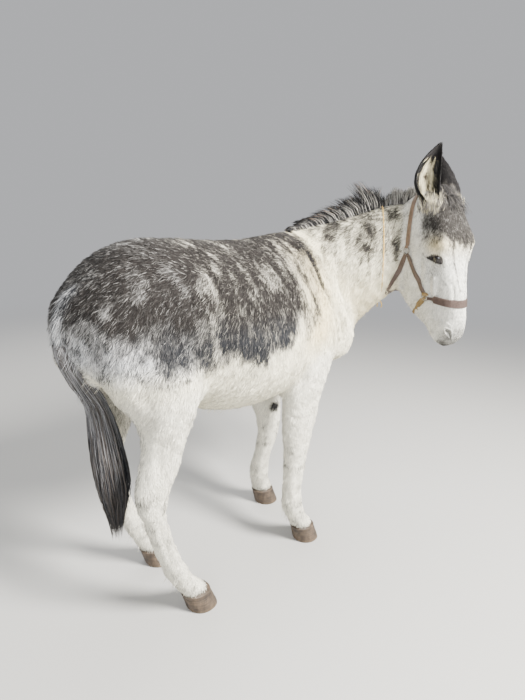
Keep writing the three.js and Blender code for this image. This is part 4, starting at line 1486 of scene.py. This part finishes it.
def rope(path, radius, closed=False):
    """Three-strand twine along an even path, in millimetres."""
    side, other = path_frames(path, (0.2, 0.1, 0.97), closed)
    gap = np.linalg.norm(np.diff(path, axis=0), axis=1).mean()
    turn = np.arange(len(path)) * gap / (LAY * radius) * 2 * np.pi
    round_at = np.arange(15) * 2 * np.pi / 15
    lobes = 1 + 0.2 * np.cos(3 * (round_at[None] - turn[:, None]))
    section = radius * lobes[..., None] * np.stack([np.cos(round_at), np.sin(round_at)], 1)
    co, faces = sweep(path, side, other, section, closed)
    return co, facing_out(co, faces)


def even_path(points, gap, closed=False):
    """A smooth path through points, evenly spaced."""
    points = np.asarray(points, float)
    if closed:
        dense = rounded_outline(points, 40 * len(points))
        dense = np.vstack([dense, dense[:1]])
    else:
        dense = along_curve(points, np.linspace(0, 1, 40 * len(points)))
    at = np.append(0, np.cumsum(np.linalg.norm(np.diff(dense, axis=0), axis=1)))
    even = np.linspace(0, at[-1], max(4, int(at[-1] / gap)))
    path = np.stack([np.interp(even, at, dense[:, j]) for j in range(dense.shape[1])], 1)
    return path[:-1] if closed else path


def wound(middle, across, out, radius, corners=8):
    """One turn of twine round a middle."""
    turn = np.linspace(0, 2 * np.pi, corners + 1)[:-1, None]
    loop = middle + np.cos(turn) * across + np.sin(turn) * out
    return rope(even_path(loop, FINE, closed=True), radius, closed=True)


def twine_piece(name, parts, node_name, colour, in_head=True):
    co, faces = joined(parts)
    tone = 1 + 0.22 * noise(co, (7, 7, 7), 127, 2) + 0.1 * noise(co, 40, 131, 1)
    place = body_of_head(co) if in_head else co
    piece = make_piece(name, to_frame(place), faces, TWINE, paint=colour * tone[:, None])
    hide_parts(node_name)


def make_ring(name, place, side):
    """A steel ring lying on the side of the head, over the ends of the straps."""
    lean = [skin_from_inside(place + [0, 0, dz], side * LEFT) for dz in (-16, 0, 16)]
    slope = [skin_from_inside(place + [dx, 0, 0], side * LEFT) for dx in (-16, 16)]
    up, fore = unit(lean[2] - lean[0]), unit(slope[1] - slope[0])
    out = unit(np.cross(up, fore))
    out *= np.sign(out[1] * side)
    fore = np.cross(up, out)
    away = circle(64) @ np.stack([up, fore])
    middle = lean[1] + out * (ABOVE_SKIN + 4.2)
    path = middle + RING_RADIUS * away
    outs = np.broadcast_to(out, away.shape)
    co, faces = sweep(path, away, outs, circle(14, RING_WIRE), closed=True)
    faces = facing_out(co, faces)
    tarnish = noise(co, (6, 6, 6), 137, 3)
    paint = mixed(srgb(168, 165, 158), srgb(84, 75, 64), np.clip(0.3 + 0.45 * tarnish, 0, 1))
    ring = make_piece(name, to_frame(body_of_head(co)), faces, STEEL, paint=paint)
    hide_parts(name.replace("_wire", ""))
    return middle, out, up, fore


CHEEK_RINGS = {}
for name, side in SIDES:
    make_ring(f"upper_ring_wire_{name}", UPPER_RING, side)
    CHEEK_RINGS[side] = make_ring(f"cheek_ring_wire_{name}", CHEEK_RING, side)

TAN = srgb(98, 80, 64)
BROWN_LEATHER = srgb(64, 50, 43)
MAUVE = srgb(68, 56, 51)
OCHRE = srgb(122, 102, 68)
STRAW = srgb(178, 148, 88)


def noseband_wide(ring_gap):
    return 12 + 17 * smooth(30, 36, ring_gap)


def tapered(wide):
    return lambda ring_gap: wide * (0.78 + 0.22 * smooth(14, 34, ring_gap))


lay_strap(
    "throat_strap_leather", LEATHER,
    strap_path(UPPER_RING, UNDER_THROAT, 19, True), "throat_strap", tapered(19), 2.8,
    BROWN_LEATHER,
)
lay_strap(
    "crown_strap_leather", LEATHER, strap_path(UPPER_RING, POLL, 25, True),
    "crown_strap", tapered(20), 3.0, TAN, lift=0.6, steps=160,
)
lay_strap(
    "noseband_webbing", WEBBING, strap_path(CHEEK_RING, NOSE_FRONT, 27, True),
    "noseband", noseband_wide, 2.8, MAUVE, lift=0.3,
)
for name, side in SIDES:
    lay_strap(
        f"cheek_strap_leather_{name}", LEATHER,
        strap_path(UPPER_RING, CHEEK_RING, 19, False, side), f"cheek_strap_{name}",
        tapered(19), 2.8, BROWN_LEATHER, lift=0.4,
    )
sew()


# The twine's loose ends under the chin, and below the collar's knot, on its left.
TWINE_END = np.array([[0, 0, 0], [6, 0, -7], [16, 0, -10], [27, 0, -7]]) * 0.8
KNOT_END = np.array([[0, 0, 0], [0, 6, -10], [4, 10, -22], [2, 9, -34]])


def chin_twine():
    """Twine under the chin from ring to ring, wound at both ends and round the noseband."""
    rows = evened(strap_path(CHEEK_RING, UNDER_CHIN, 12, True), 90)[0]
    centre, across, run, out = strap_ways(rows, [300, 0, -110])
    parts = []
    count = len(centre)
    share = np.linspace(0, 1, count)
    ends = np.maximum(bell(share, 0.1), bell(share - 1, 0.1))
    for k in (-1, 0, 1):
        phase = 2.1 * k
        weave = 2.3 * np.sin(share * 30 + phase)[:, None] * across
        height = (ABOVE_SKIN + 1.6 + 1.5 * np.cos(share * 30 + phase) + 3 * ends)[:, None] * out
        line = centre + across * (k * 1.6) + weave + height
        parts.append(rope(even_path(line, FINE), 2.1))
    for end, inward in ((0, 1), (count - 1, -1)):
        for wind in range(6):
            at = end + inward * (7 + 2 * wind)
            lean = 0.18 * math.sin(1.7 * wind)
            middle = centre[at] + out[at] * (ABOVE_SKIN + 2.4)
            parts.append(wound(middle, (across[at] + lean * run[at]) * 8.2, out[at] * 5.0, 2.2))
        tail = centre[end + inward * 16] + out[end + inward * 16] * 8
        parts.append(rope(even_path(tail + TWINE_END, FINE), 1.9))
    for middle, outward, up, fore in CHEEK_RINGS.values():
        for wind in range(5):
            angle = 0.55 + 0.33 * wind
            away = math.cos(angle) * up + math.sin(angle) * -fore
            parts.append(wound(middle + away * RING_RADIUS, away * 5.2, outward * 4.6, 1.8))
    twine_piece("chin_twine", parts, "chin_strap", OCHRE)


def neck_twine():
    """The thin twine collar, round the neck and over the pinched mane, with a knot below."""
    place = np.array([CORD_PLACE])
    _, (up,), (left,) = neck_frame(place)
    middle = neck_middle(place)[0]
    points = []
    for turn in np.linspace(-np.pi / 2, 1.5 * np.pi, 64, endpoint=False):
        way = math.cos(turn) * left + math.sin(turn) * up
        hit = SKIN_TREE.ray_cast(Vector(to_frame(middle)), Vector(way))[0]
        over_mane = 13 * bell((turn - np.pi / 2) / 0.3, 1)
        points.append(to_body(np.array(hit)) + way * (6.4 + over_mane))
    points = np.array(points)
    for _ in range(3):
        points = (np.roll(points, 1, 0) + 2 * points + np.roll(points, -1, 0)) / 4
    parts = [rope(even_path(points, 1.4, closed=True), 2.3, closed=True)]
    low = points[0]
    along_neck = np.cross(up, left)
    for turn, size in ((0.3, 5.2), (1.9, 4.6), (2.8, 5.4)):
        tilt = math.cos(turn) * left + math.sin(turn) * along_neck
        parts.append(wound(low, tilt * size, up * size * 0.8, 2.2, corners=9))
    for aside in (-1, 1):
        end = low + KNOT_END * [1, aside, 1]
        parts.append(rope(even_path(end, FINE), 2.0))
    twine_piece("neck_twine", parts, "neck_cord", STRAW, in_head=False)


chin_twine()
neck_twine()

# ------------------------------------------------------------------ eyes

EYE = painted_material(
    "eye", 90, 0.2, 0.00005, roughness=0.16, Coat_Weight=0.25, Coat_Roughness=0.05,
    Specular_IOR_Level=0.35,
)
LID = painted_material("lid_rim", 300, 0.25, 0.0003, roughness=0.38, Specular_IOR_Level=0.5)
LASHES = 90
LASH_WIDE = 0.0006


def eye_to_frame(local, side):
    """From along, up and out of the eyeball's middle to the frame."""
    g = EYE_MIDDLE + local @ np.stack([EYE_ACROSS, EYE_UP, [0, 1, 0]])
    return to_frame(body_of_head(g * [1, side, 1]))


def make_eyeball(name, side):
    """A dark eyeball with a horizontal pupil, and a clear front that stands a little proud."""
    rings, sides = 40, 56
    polar = np.linspace(0.02, 2.2, rings)
    turn = np.arange(sides) * 2 * np.pi / sides
    out = np.cos(polar)[:, None] + 0 * turn
    flat = np.sin(polar)[:, None]
    local = np.stack([flat * np.cos(turn), flat * np.sin(turn), out], -1).reshape(-1, 3)
    cornea = 1 + 0.05 * smooth(0.8, 0.2, np.hypot(local[:, 0], local[:, 1]))
    along, up = local[:, 0] - 0.1, local[:, 1] + 0.08
    iris = np.hypot(along, up)
    streaks = 0.5 + 0.5 * np.sin(np.arctan2(up, along) * 46 + 3 * noise(local * 40, 9, 5))
    colour = mixed(srgb(30, 24, 22), srgb(19, 15, 14), np.clip(0.4 + 0.5 * streaks, 0, 1))
    colour = mixed(colour, srgb(10, 10, 12), smooth(1.05, 0.9, np.hypot(along / 0.42, up / 0.24)))
    colour = mixed(colour, srgb(20, 15, 14), smooth(0.55, 0.68, iris))
    colour = mixed(colour, srgb(96, 82, 74), 0.6 * smooth(0.78, 0.86, iris))
    ball = local * (EYE_RADIUS * cornea)[:, None]
    ball = np.concatenate([ball, [ball[:sides].mean(0), ball[-sides:].mean(0)]])
    colour = np.concatenate([colour, [colour[0], colour[-1]]])
    ball = eye_to_frame(ball, side)
    faces = facing_out(ball, capped_faces(rings, sides))
    eye = make_piece(f"eyeball_{name}", ball, faces, EYE, paint=colour)
    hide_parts(f"eye_{name}")


def make_lids(name, side):
    """The dark rim round the eye's opening, and the lashes of its upper lid."""
    away = unit(OPENING - OPENING.mean(0))
    edge = OPENING + away * 0.6
    out = np.sqrt((EYE_RADIUS + 0.5) ** 2 - (edge**2).sum(1))
    path = np.column_stack([edge, out])
    outward = unit(path)
    across = np.column_stack([away, 0 * out])
    across = unit(across - outward * (across * outward).sum(1)[:, None])
    heavy = 1 + 0.5 * smooth(-2, 6, edge[:, 1])
    section = circle(12)[None] * np.stack([1.9 * heavy, 1.35 * heavy], 1)[:, None]
    co, faces = sweep(path, across, outward, section, closed=True)
    tone = srgb(34, 29, 29) * (1 + 0.3 * noise(co, 5, 107, 2))[:, None]
    rim = eye_to_frame(co, side)
    make_piece(f"lid_rim_{name}", rim, facing_out(rim, faces), LID, paint=tone)

    count = LASHES
    pick = rng.choice(np.flatnonzero(OPENING[:, 1] > -6), count)
    root = path[pick] + outward[pick] * 0.8 + across[pick] * 1.6
    steps = np.linspace(0, 1, 5)[None, :, None]
    long = rng.uniform(7, 13, count)[:, None, None]
    lean = rng.normal(0, 0.25, (count, 1, 3))
    paths = root[:, None] + long * steps * (
        outward[pick][:, None] * (0.85 - 0.3 * steps) + across[pick][:, None] * 0.25 + lean
        - np.array([0, 0.55, 0]) * steps
    )
    dark = np.tile(srgb(60, 56, 54), (count, 1))
    strands(
        f"lashes_{name}",
        eye_to_frame(paths.reshape(-1, 3), side).reshape(paths.shape),
        np.full(count, LASH_WIDE), dark, dark * 1.5, np.tile([0.97, 0.97], (count, 1)), HAIR,
    )


for name, side in SIDES:
    make_eyeball(name, side)
    make_lids(name, side)

# ------------------------------------------------------------------ ears

# From root to tip: half angle of the scroll in degrees, its radius, and its bow back.
EAR = [
    (0, 150, 24, 0), (0.15, 138, 33, 2), (0.35, 106, 42, 8), (0.6, 88, 42, 12),
    (0.8, 72, 32, 10), (0.93, 60, 18, 4), (1, 52, 6, 0),
]
EAR_LONG = 212
EAR_THICK = 3.6
EAR_TUFTS, EAR_HAIRS = ((6500, 1000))
# For each ear: its root and the way it rises in HEAD, the way it opens in BODY, and how far it
# bows along HEAD's Z.
EARS = {
    "right": ((28, -58, -64), (-202, -2, 62), (-0.7, -0.7, 0), -34),
    "left": ((26, 50, -54), (-203, 4, -30), (0.75, -0.5, 0), 0),
}


def ear_places(side, t, share, lift):
    """Places on an ear: t from root to tip, share across its scroll, lift off its middle."""
    root, rise, opening, bow = EARS[side]
    up = unit(HEAD_AXES @ np.array(rise, float))
    front = unit(np.array(opening, float) - up * (np.array(opening) @ up))
    aside = np.cross(up, front)
    half, radius, back = sizes_at(EAR, t).T
    angle = np.radians(half) * share
    reach = radius - 1.2 + lift
    return (
        body_of_head(np.array(root, float))
        + up * (EAR_LONG * t)[:, None]
        + HEAD_AXES[:, 2] * (bow * np.sin(np.pi * t))[:, None]
        + aside * (reach * np.sin(angle))[:, None]
        + front * (radius * 0.5 - reach * np.cos(angle) - back)[:, None]
    )


def ear_wall(t, share, inside):
    """How far off the ear's middle its inner or its outer side lies."""
    wall = np.minimum(EAR_THICK, sizes_at(EAR, t)[:, 1] * 0.5) * np.sqrt(1 - share**6) / 2
    return np.where(inside, -wall, wall)


# The hollows inside an ear that take painted shade, up from its root and across its scroll.
SHADED_EAR_HOLLOWS = [(0.5, 0.05), (0.36, 0.3), (0.28, -0.3), (0.16, 0.12)]


def ear_colour(t, share, inside, place):
    edge = np.abs(share)
    blotch = noise(place, 16, 71, 2)
    rim = smooth(0.62, 0.8, edge + 0.06 * blotch + 0.14 * smooth(0.4, 0.9, t))
    tip = smooth(0.64, 0.78, t + 0.07 * blotch)
    dark = np.clip(np.maximum(rim * smooth(0.02, 0.15, t), tip), 0, 1)
    # Inside the ear: random dark patches, and painted shade in its hollows and down the middle of
    # its scroll near the root.
    hollow_shade = 0.6 * smooth(0.1, 0.7, blotch) + 0.3 * bell(share, 0.3) * smooth(0.65, 0.3, t)
    for place_up, place_across in SHADED_EAR_HOLLOWS:
        hollow_shade += 1.1 * bell(np.hypot((t - place_up) / 0.055, (share - place_across) / 0.16), 1)
    cream = mixed(srgb(216, 206, 172), srgb(48, 40, 34), np.clip(hollow_shade, 0, 1))
    back = mixed(srgb(92, 88, 83), srgb(24, 22, 22), smooth(0.0, 0.4, t + 0.25 * blotch))
    base = np.where(inside[:, None], cream, back)
    return mixed(base, srgb(21, 19, 19), dark)


def ear_flat(left, across, t):
    """Places in the ear's chart, which begins at left."""
    return np.stack([left + 0.05 * across, 0.02 + 0.15 * t], 1)


def make_ear(side, left):
    """An ear's two-sided scroll, its short coat, and the long hair inside it."""
    rings, sides = 54, 56
    t = np.repeat(1 - (1 - np.linspace(0, 1, rings)) ** 1.3, sides)
    turn = np.tile(np.arange(sides) * 2 * np.pi / sides, rings)
    share = np.cos(turn)
    inside = turn > np.pi
    lift = ear_wall(t, share, inside)
    ripple = 0.7 * noise(np.stack([share * 60, t * 120, lift], 1), 14, 73, 2)
    place = ear_places(side, t, share, lift + ripple)
    cap = place[-sides:].mean(0)[None]
    co = np.concatenate([place, cap])
    last = (rings - 1) * sides
    k = np.arange(sides)
    end = np.stack([last + k, last + (k + 1) % sides, np.full(sides, len(co) - 1)], 1)
    faces = np.concatenate([tube_faces(rings, sides), end])
    colour = ear_colour(t, share, inside, place)
    colour = np.concatenate([colour, colour[-1:]])
    flat = ear_flat(left, turn / (2 * np.pi), t)
    flat = np.concatenate([flat, flat[-1:]])
    faces = facing_out(co - co.mean(0), faces)
    ear = make_piece(
        f"ear_skin_{side}", to_frame(co), faces, SKIN, paint=colour * 0.8,
        uv=flat[faces.ravel()],
    )
    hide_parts(f"ear_{side}")

    count = EAR_TUFTS
    t = rng.uniform(0, 0.985, count) ** 0.9
    share = rng.uniform(-1, 1, count)
    inner = rng.random(count) < 0.5
    lift = ear_wall(t, share, inner)
    step = 0.01
    here = ear_places(side, t, share, lift)
    ahead = unit(ear_places(side, t + step, share, lift) - here)
    over = unit(ear_places(side, t, share + step, lift) - here)
    normal = unit(ear_places(side, t, share, lift + 1) - here)
    normal[inner] *= -1
    inward = np.where(inner, -np.sign(share) * 0.35 * np.abs(share) ** 3, 0)
    flow = unit(ahead + over * inward[:, None])
    colour = ear_colour(t, share, inner, here)
    tone = rng.normal(1, np.where(inner, 0.1, 0.35)[:, None], (count, 1)).clip(0.3, 2.2)
    long = rng.uniform(8, 15, count) + np.where(inner, 6, 0) * (1 - t)
    tufts(
        f"coat_ear_{side}", to_frame(here), normal, flow, long / 1000,
        rng.uniform(1.6, 2.3, count) / 1000, rng.uniform(1.2, 3.6, count) / 1000,
        colour * 0.75, colour * tone, ear_flat(left, rng.random(count), t),
    )

    count = EAR_HAIRS
    t = rng.uniform(0.0, 0.72, count)
    edge = np.sign(rng.random(count) - 0.5) * rng.uniform(0.35, 0.9, count)
    steps = np.linspace(0, 1, 5)
    here = [
        ear_places(side, t + 0.13 * u, edge * (1 - 0.45 * u), -1.5 - 9 * np.sin(2.6 * u) + 0 * t)
        for u in steps
    ]
    paths = np.stack(here, 1)
    paths += rng.normal(0, 1.2, (count, 1, 3)) * steps[None, :, None]
    lit_by = rng.uniform(0.5, 1.1, (count, 1))
    cream = ear_colour(t, edge, np.ones(count, bool), here[0]) * lit_by
    strands(
        f"ear_hair_{side}", to_frame(paths), rng.uniform(0.9, 1.5, count) / 1000,
        cream * 0.6, cream, ear_flat(left, rng.random(count), t), HAIR,
    )


for at, side in enumerate(EARS):
    make_ear(side, 0.87 + 0.06 * at)

# ------------------------------------------------------------------ longer hair along the edges

FEWER = 1.0
ROOT_DEPTH = 0.002

# How far the skin faces down, level or down, back, under the head, and back or aside.
DOWN = smooth(0.2, -0.5, normal[:, 2])
LEVEL = smooth(0.6, -0.1, normal[:, 2])
BACK = smooth(0.1, 0.8, -normal[:, 0])
UNDER = smooth(0.1, -0.5, normal @ HEAD_AXES[:, 2])
HIND = smooth(0.5, -0.2, normal[:, 0])
# Where longer hair stands: of which region, where its middle is and how far it reaches in BODY
# (or HEAD for the head), how dense it is per 100 square centimetres, how long, which way it
# hangs, and on which skin.
FRINGES = [
    ("head", (230, 0, -215), (110, 60, 60), 150, 24, (-0.2, 0, -0.6), UNDER),
    ("head", (500, 0, -125), (40, 40, 26), 60, 14, (0.3, 0, -0.8), UNDER),
    ("trunk", (0, 0, 600), (330, 100, 60), 60, 26, (-0.5, 0, -0.8), DOWN),
    ("trunk", (560, 0, 830), (90, 100, 130), 60, 26, (-0.1, 0, -1.0), LEVEL),
    ("neck", (560, -100, 860), (130, 120, 150), 60, 24, (-0.2, 0.1, -1.0), LEVEL),
    ("upper", (190, 0, 640), (60, 230, 130), 50, 26, (-0.8, 0, -0.6), DOWN),
    ("lower", (215, 0, 360), (120, 230, 55), 70, 22, (-0.8, 0, -0.6), BACK),
    ("lower", (-470, 0, 480), (90, 230, 120), 50, 20, (-0.7, 0, -0.7), BACK),
    ("lower", (0, 0, 165), (500, 230, 45), 90, 27, (-0.7, 0, -0.8), BACK),
    ("dock", (-610, 0, 930), (90, 90, 130), 420, 36, (-0.45, 0, -1.0), HIND),
]
# Over the hooves: how high the hair's middle is, how far it reaches, its density and its length.
CORONET = (95, 9, 300, 16)


def grow_fringes():
    planted = []

    def plant(density, long, way):
        face, weight = scattered(co, tri, density * FEWER)
        place, out, lie, light, deep, grey = (
            carried(values, tri, face, weight) for values in (co, normal, flow, pale, shade, dark)
        )
        planted.append((
            place, unit(out), unit(unit(lie) * 0.6 + np.asarray(way, float)),
            long * rng.uniform(0.55, 1.15, len(face)), chart_ids[face],
            mixed(light, deep, np.clip(0.8 * grey, 0, 1)),
        ))

    for region, middle, reach, density, long, way, facing in FRINGES:
        at = h if region == "head" else body
        inside = bell(np.linalg.norm((at - middle) / reach, axis=1), 1) * of_region(share, region)
        if region == "head":
            way = HEAD_AXES @ np.array(way)
        plant(inside * facing * density / 1e4, long, way)
    high, reach, density, long = CORONET
    ring = bell(body[:, 2] - high, reach) * of_region(share, "lower")
    plant(ring * density / 1e4, long, (0.15, 0, -1.0))

    root, out, way, long, chart, paint = (np.concatenate(column) for column in zip(*planted))
    way += rng.normal(0, 0.16, way.shape)
    long = long[:, None, None] / 1000
    steps = np.linspace(0, 1, 5)[None, :, None]
    standing = out[:, None] * 0.62 * steps * (1 - 0.45 * steps)
    falling = way[:, None] * steps * (0.35 + 0.6 * steps)
    paths = root[:, None] - out[:, None] * ROOT_DEPTH + long * (standing + falling)
    flat = unwrapped(chart, to_body(root), to_body(root))
    tone = rng.uniform(0.75, 1.1, (len(root), 1))
    strands(
        "coat_fringe", paths, rng.uniform(1.0, 1.7, len(root)) / 1000,
        paint * 0.6, paint * tone, flat, COAT,
    )


# The hair between the ears: its roots in HEAD, as middle and reach, how many and how long.
FORELOCK = [((8, 6, -22), (16, 30, 8), 330, 72), ((-32, 4, -46), (16, 26, 8), 260, 60)]


def grow_forelock():
    """The forelock, and the hair round and in front of each ear's root."""
    paths, wide, base, tip = [], [], [], []
    steps = np.linspace(0, 1, 6)[None, :, None]
    for middle, reach, count, long in FORELOCK:
        count = int(count * FEWER)
        at = np.array(middle) + rng.uniform(-1, 1, (count, 3)) * reach
        down = np.tile([0.95, 0.0, 0.12], (count, 1)) + rng.normal(0, 0.2, (count, 3))
        down[:, 1] += 0.012 * at[:, 1]
        size = rng.uniform(0.5, 1.05, count)[:, None, None] * long
        line = at[:, None] + size * (
            np.array([-0.25, 0, 0.75]) * steps * (1 - 0.62 * steps) + down[:, None] * steps**1.5
        )
        paths.append(line)
        wide.append(rng.uniform(1.2, 2.1, count))
        dark = mixed(srgb(38, 36, 37), srgb(120, 116, 110), rng.random(count) ** 3)
        base.append(dark * 0.8)
        tip.append(dark)
    for root, rise, opening, _ in EARS.values():
        count = int(520 * FEWER)
        up = unit(np.array(rise, float))
        facing = unit(HEAD_AXES.T @ np.array(opening, float))
        facing = unit(facing - up * (facing @ up))
        aside = np.cross(up, facing)
        turn = rng.uniform(-np.pi, np.pi, count)
        around = np.cos(turn)[:, None] * facing + np.sin(turn)[:, None] * aside
        away = rng.uniform(17, 31, count)[:, None]
        at = np.array(root) + around * away - up * rng.uniform(2, 14, count)[:, None]
        size = rng.uniform(22, 40, count)[:, None, None]
        lean = (around * rng.uniform(-0.1, 0.45, (count, 1)))[:, None]
        line = at[:, None] + size * (up * steps + lean * steps**1.4)
        paths.append(line + rng.normal(0, 1.5, (count, 1, 3)) * steps)
        wide.append(rng.uniform(1.2, 2.0, count))
        outer = smooth(-0.3, 0.6, around @ np.array([0, np.sign(root[1]), 0]))
        pale_one = srgb(228, 220, 190) * rng.uniform(0.7, 1.05, (count, 1))
        dark_one = srgb(56, 53, 52) * rng.uniform(0.7, 1.5, (count, 1))
        lucky = (rng.random(count) < 0.25 + 0.7 * outer)[:, None]
        colour = np.where(lucky, pale_one, dark_one)
        base.append(colour * 0.6)
        tip.append(colour)
        count = int(420 * FEWER)
        turn = rng.uniform(-1.5, 1.5, count)
        around = np.cos(turn)[:, None] * facing + np.sin(turn)[:, None] * aside
        from_ear = rng.random((count, 1)) ** 1.7
        at = np.array(root) + around * (18 + 32 * from_ear)
        at -= up * rng.uniform(-6, 24, count)[:, None]
        size = (rng.uniform(24, 60, (count, 1)) * (1 - 0.45 * from_ear))[:, None]
        lean = -around[:, None] * rng.uniform(0.0, 0.5, (count, 1, 1))
        line = at[:, None] + size * (up * steps + (around[:, None] * 0.35 + lean * steps) * steps)
        paths.append(line + rng.normal(0, 5, (count, 1, 3)) * steps)
        wide.append(rng.uniform(1.2, 2.0, count))
        colour = srgb(222, 212, 180) * rng.uniform(0.45, 1.05, (count, 1))
        dark_too = rng.random((count, 1)) < 0.15 + 0.6 * from_ear
        colour = np.where(dark_too, srgb(96, 92, 88) * rng.uniform(0.6, 1.4, (count, 1)), colour)
        base.append(colour * 0.8)
        tip.append(colour)
    paths = np.concatenate(paths)
    count = len(paths)
    metres = to_frame(body_of_head(paths.reshape(-1, 3))).reshape(paths.shape)
    strands(
        "forelock", metres, np.concatenate(wide) / 1000, np.concatenate(base),
        np.concatenate(tip), np.stack([rng.uniform(0.52, 0.72, count), np.full(count, 0.475)], 1),
        HAIR,
    )


grow_fringes()
grow_forelock()

# ------------------------------------------------------------------ hooves

HORN = painted_material(
    "hoof_horn", 60, 0.35, 0.0016, roughness=0.62, stretch=(1, 1, 0.35), Specular_IOR_Level=0.35
)


def squarish(v):
    """Places round a circle, moved out towards a rounded square."""
    return np.sign(v) * np.abs(v) ** (2 / 2.2)


def make_hoof(name):
    """A slanting wall with growth rings, from the coronet down to a flat sole."""
    solid = to_body(mesh_arrays(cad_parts[name].data)[0])
    ends = []
    for level in (solid[:, 2].max(), 0.0):
        ring = solid[np.abs(solid[:, 2] - level) < 2]
        ends.append((ring.min(0), ring.max(0)))
    (top_lo, top_hi), (low_lo, low_hi) = ends
    rings, sides = 46, 72
    t = np.linspace(0, 1, rings)[:, None]
    lo, hi = top_lo * (1 - t) + low_lo * t, top_hi * (1 - t) + low_hi * t
    turn = np.arange(sides) * 2 * np.pi / sides
    across, ahead = squarish(np.cos(turn)), squarish(np.sin(turn))
    growth = 0.55 * np.sin(t * 52 + 0.8 * np.sin(3 * turn)) * smooth(0.06, 0.2, t)
    coronet = 1.6 * bell(t - 0.05, 0.05)
    hem = -2.2 * smooth(0.965, 1.0, t)
    inset = -1.6 + growth + coronet + hem
    middle, half = (lo + hi) / 2, (hi - lo) / 2
    x = middle[:, :1] + (half[:, :1] + inset) * ahead
    y = middle[:, 1:2] + (half[:, 1:2] + inset) * across
    z = np.repeat(middle[:, 2:], sides, 1)
    body = np.stack([x, y, z], -1).reshape(-1, 3)
    body[:, 2] += 0.9 * noise(body, (26, 26, 12), 83, 2) * (body[:, 2] > 3) * (body[:, 2] < 70)
    sole = body[-sides:].mean(0) + [0, 0, 4]
    top = body[:sides].mean(0)
    co = np.concatenate([body, top[None], sole[None]])
    mottle = noise(co, (20, 20, 30), 89, 3)
    band = noise(co, (400, 400, 5), 97, 2)
    dark = np.clip(0.45 + 0.35 * mottle + 0.25 * band, 0, 1)
    paint = mixed(srgb(84, 70, 56), srgb(30, 26, 24), dark)
    paint = mixed(paint, srgb(96, 80, 60), 0.5 * smooth(16, 0, co[:, 2]))
    faces = facing_out(co, capped_faces(rings, sides))
    hoof = make_piece(
        name.replace("hoof", "hoof_horn"), to_frame(co), faces, HORN, paint=paint
    )
    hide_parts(name)


for leg in LEGS:
    make_hoof(leg.replace("leg", "hoof"))

# ------------------------------------------------------------------ floor

FLOOR_COLOUR = (0.34, 0.335, 0.32, 1)
FADES_FROM, FADED_BY = 1.6, 6.5  # metres from the middle
bpy.ops.mesh.primitive_plane_add(size=30, location=(0, 0, 0))
floor = bpy.context.object
floor.name = "floor"
floor_material, floor_shader = new_material("floor", 0.9)
floor_shader.inputs["Base Color"].default_value = FLOOR_COLOUR
# Far away the floor takes on the backdrop's own light, so that no edge shows between them.
floor_place = node(floor_material, "ShaderNodeTexCoord")
far_away = node(
    floor_material, "ShaderNodeVectorMath", {0: floor_place.outputs["Object"]},
    operation="LENGTH",
)
fading = node(
    floor_material, "ShaderNodeMapRange",
    {"Value": far_away.outputs["Value"], "From Min": FADES_FROM, "From Max": FADED_BY},
    interpolation_type="SMOOTHSTEP",
)
backdrop = node(
    floor_material, "ShaderNodeEmission", {"Color": WORLD_COLOUR, "Strength": WORLD_STRENGTH}
)
faded = node(
    floor_material, "ShaderNodeMixShader",
    {0: fading.outputs["Result"], 1: floor_shader.outputs["BSDF"], 2: backdrop.outputs["Emission"]},
)
floor_material.node_tree.links.new(
    faded.outputs["Shader"], floor_material.node_tree.nodes["Material Output"].inputs["Surface"]
)
floor.data.materials.append(floor_material)
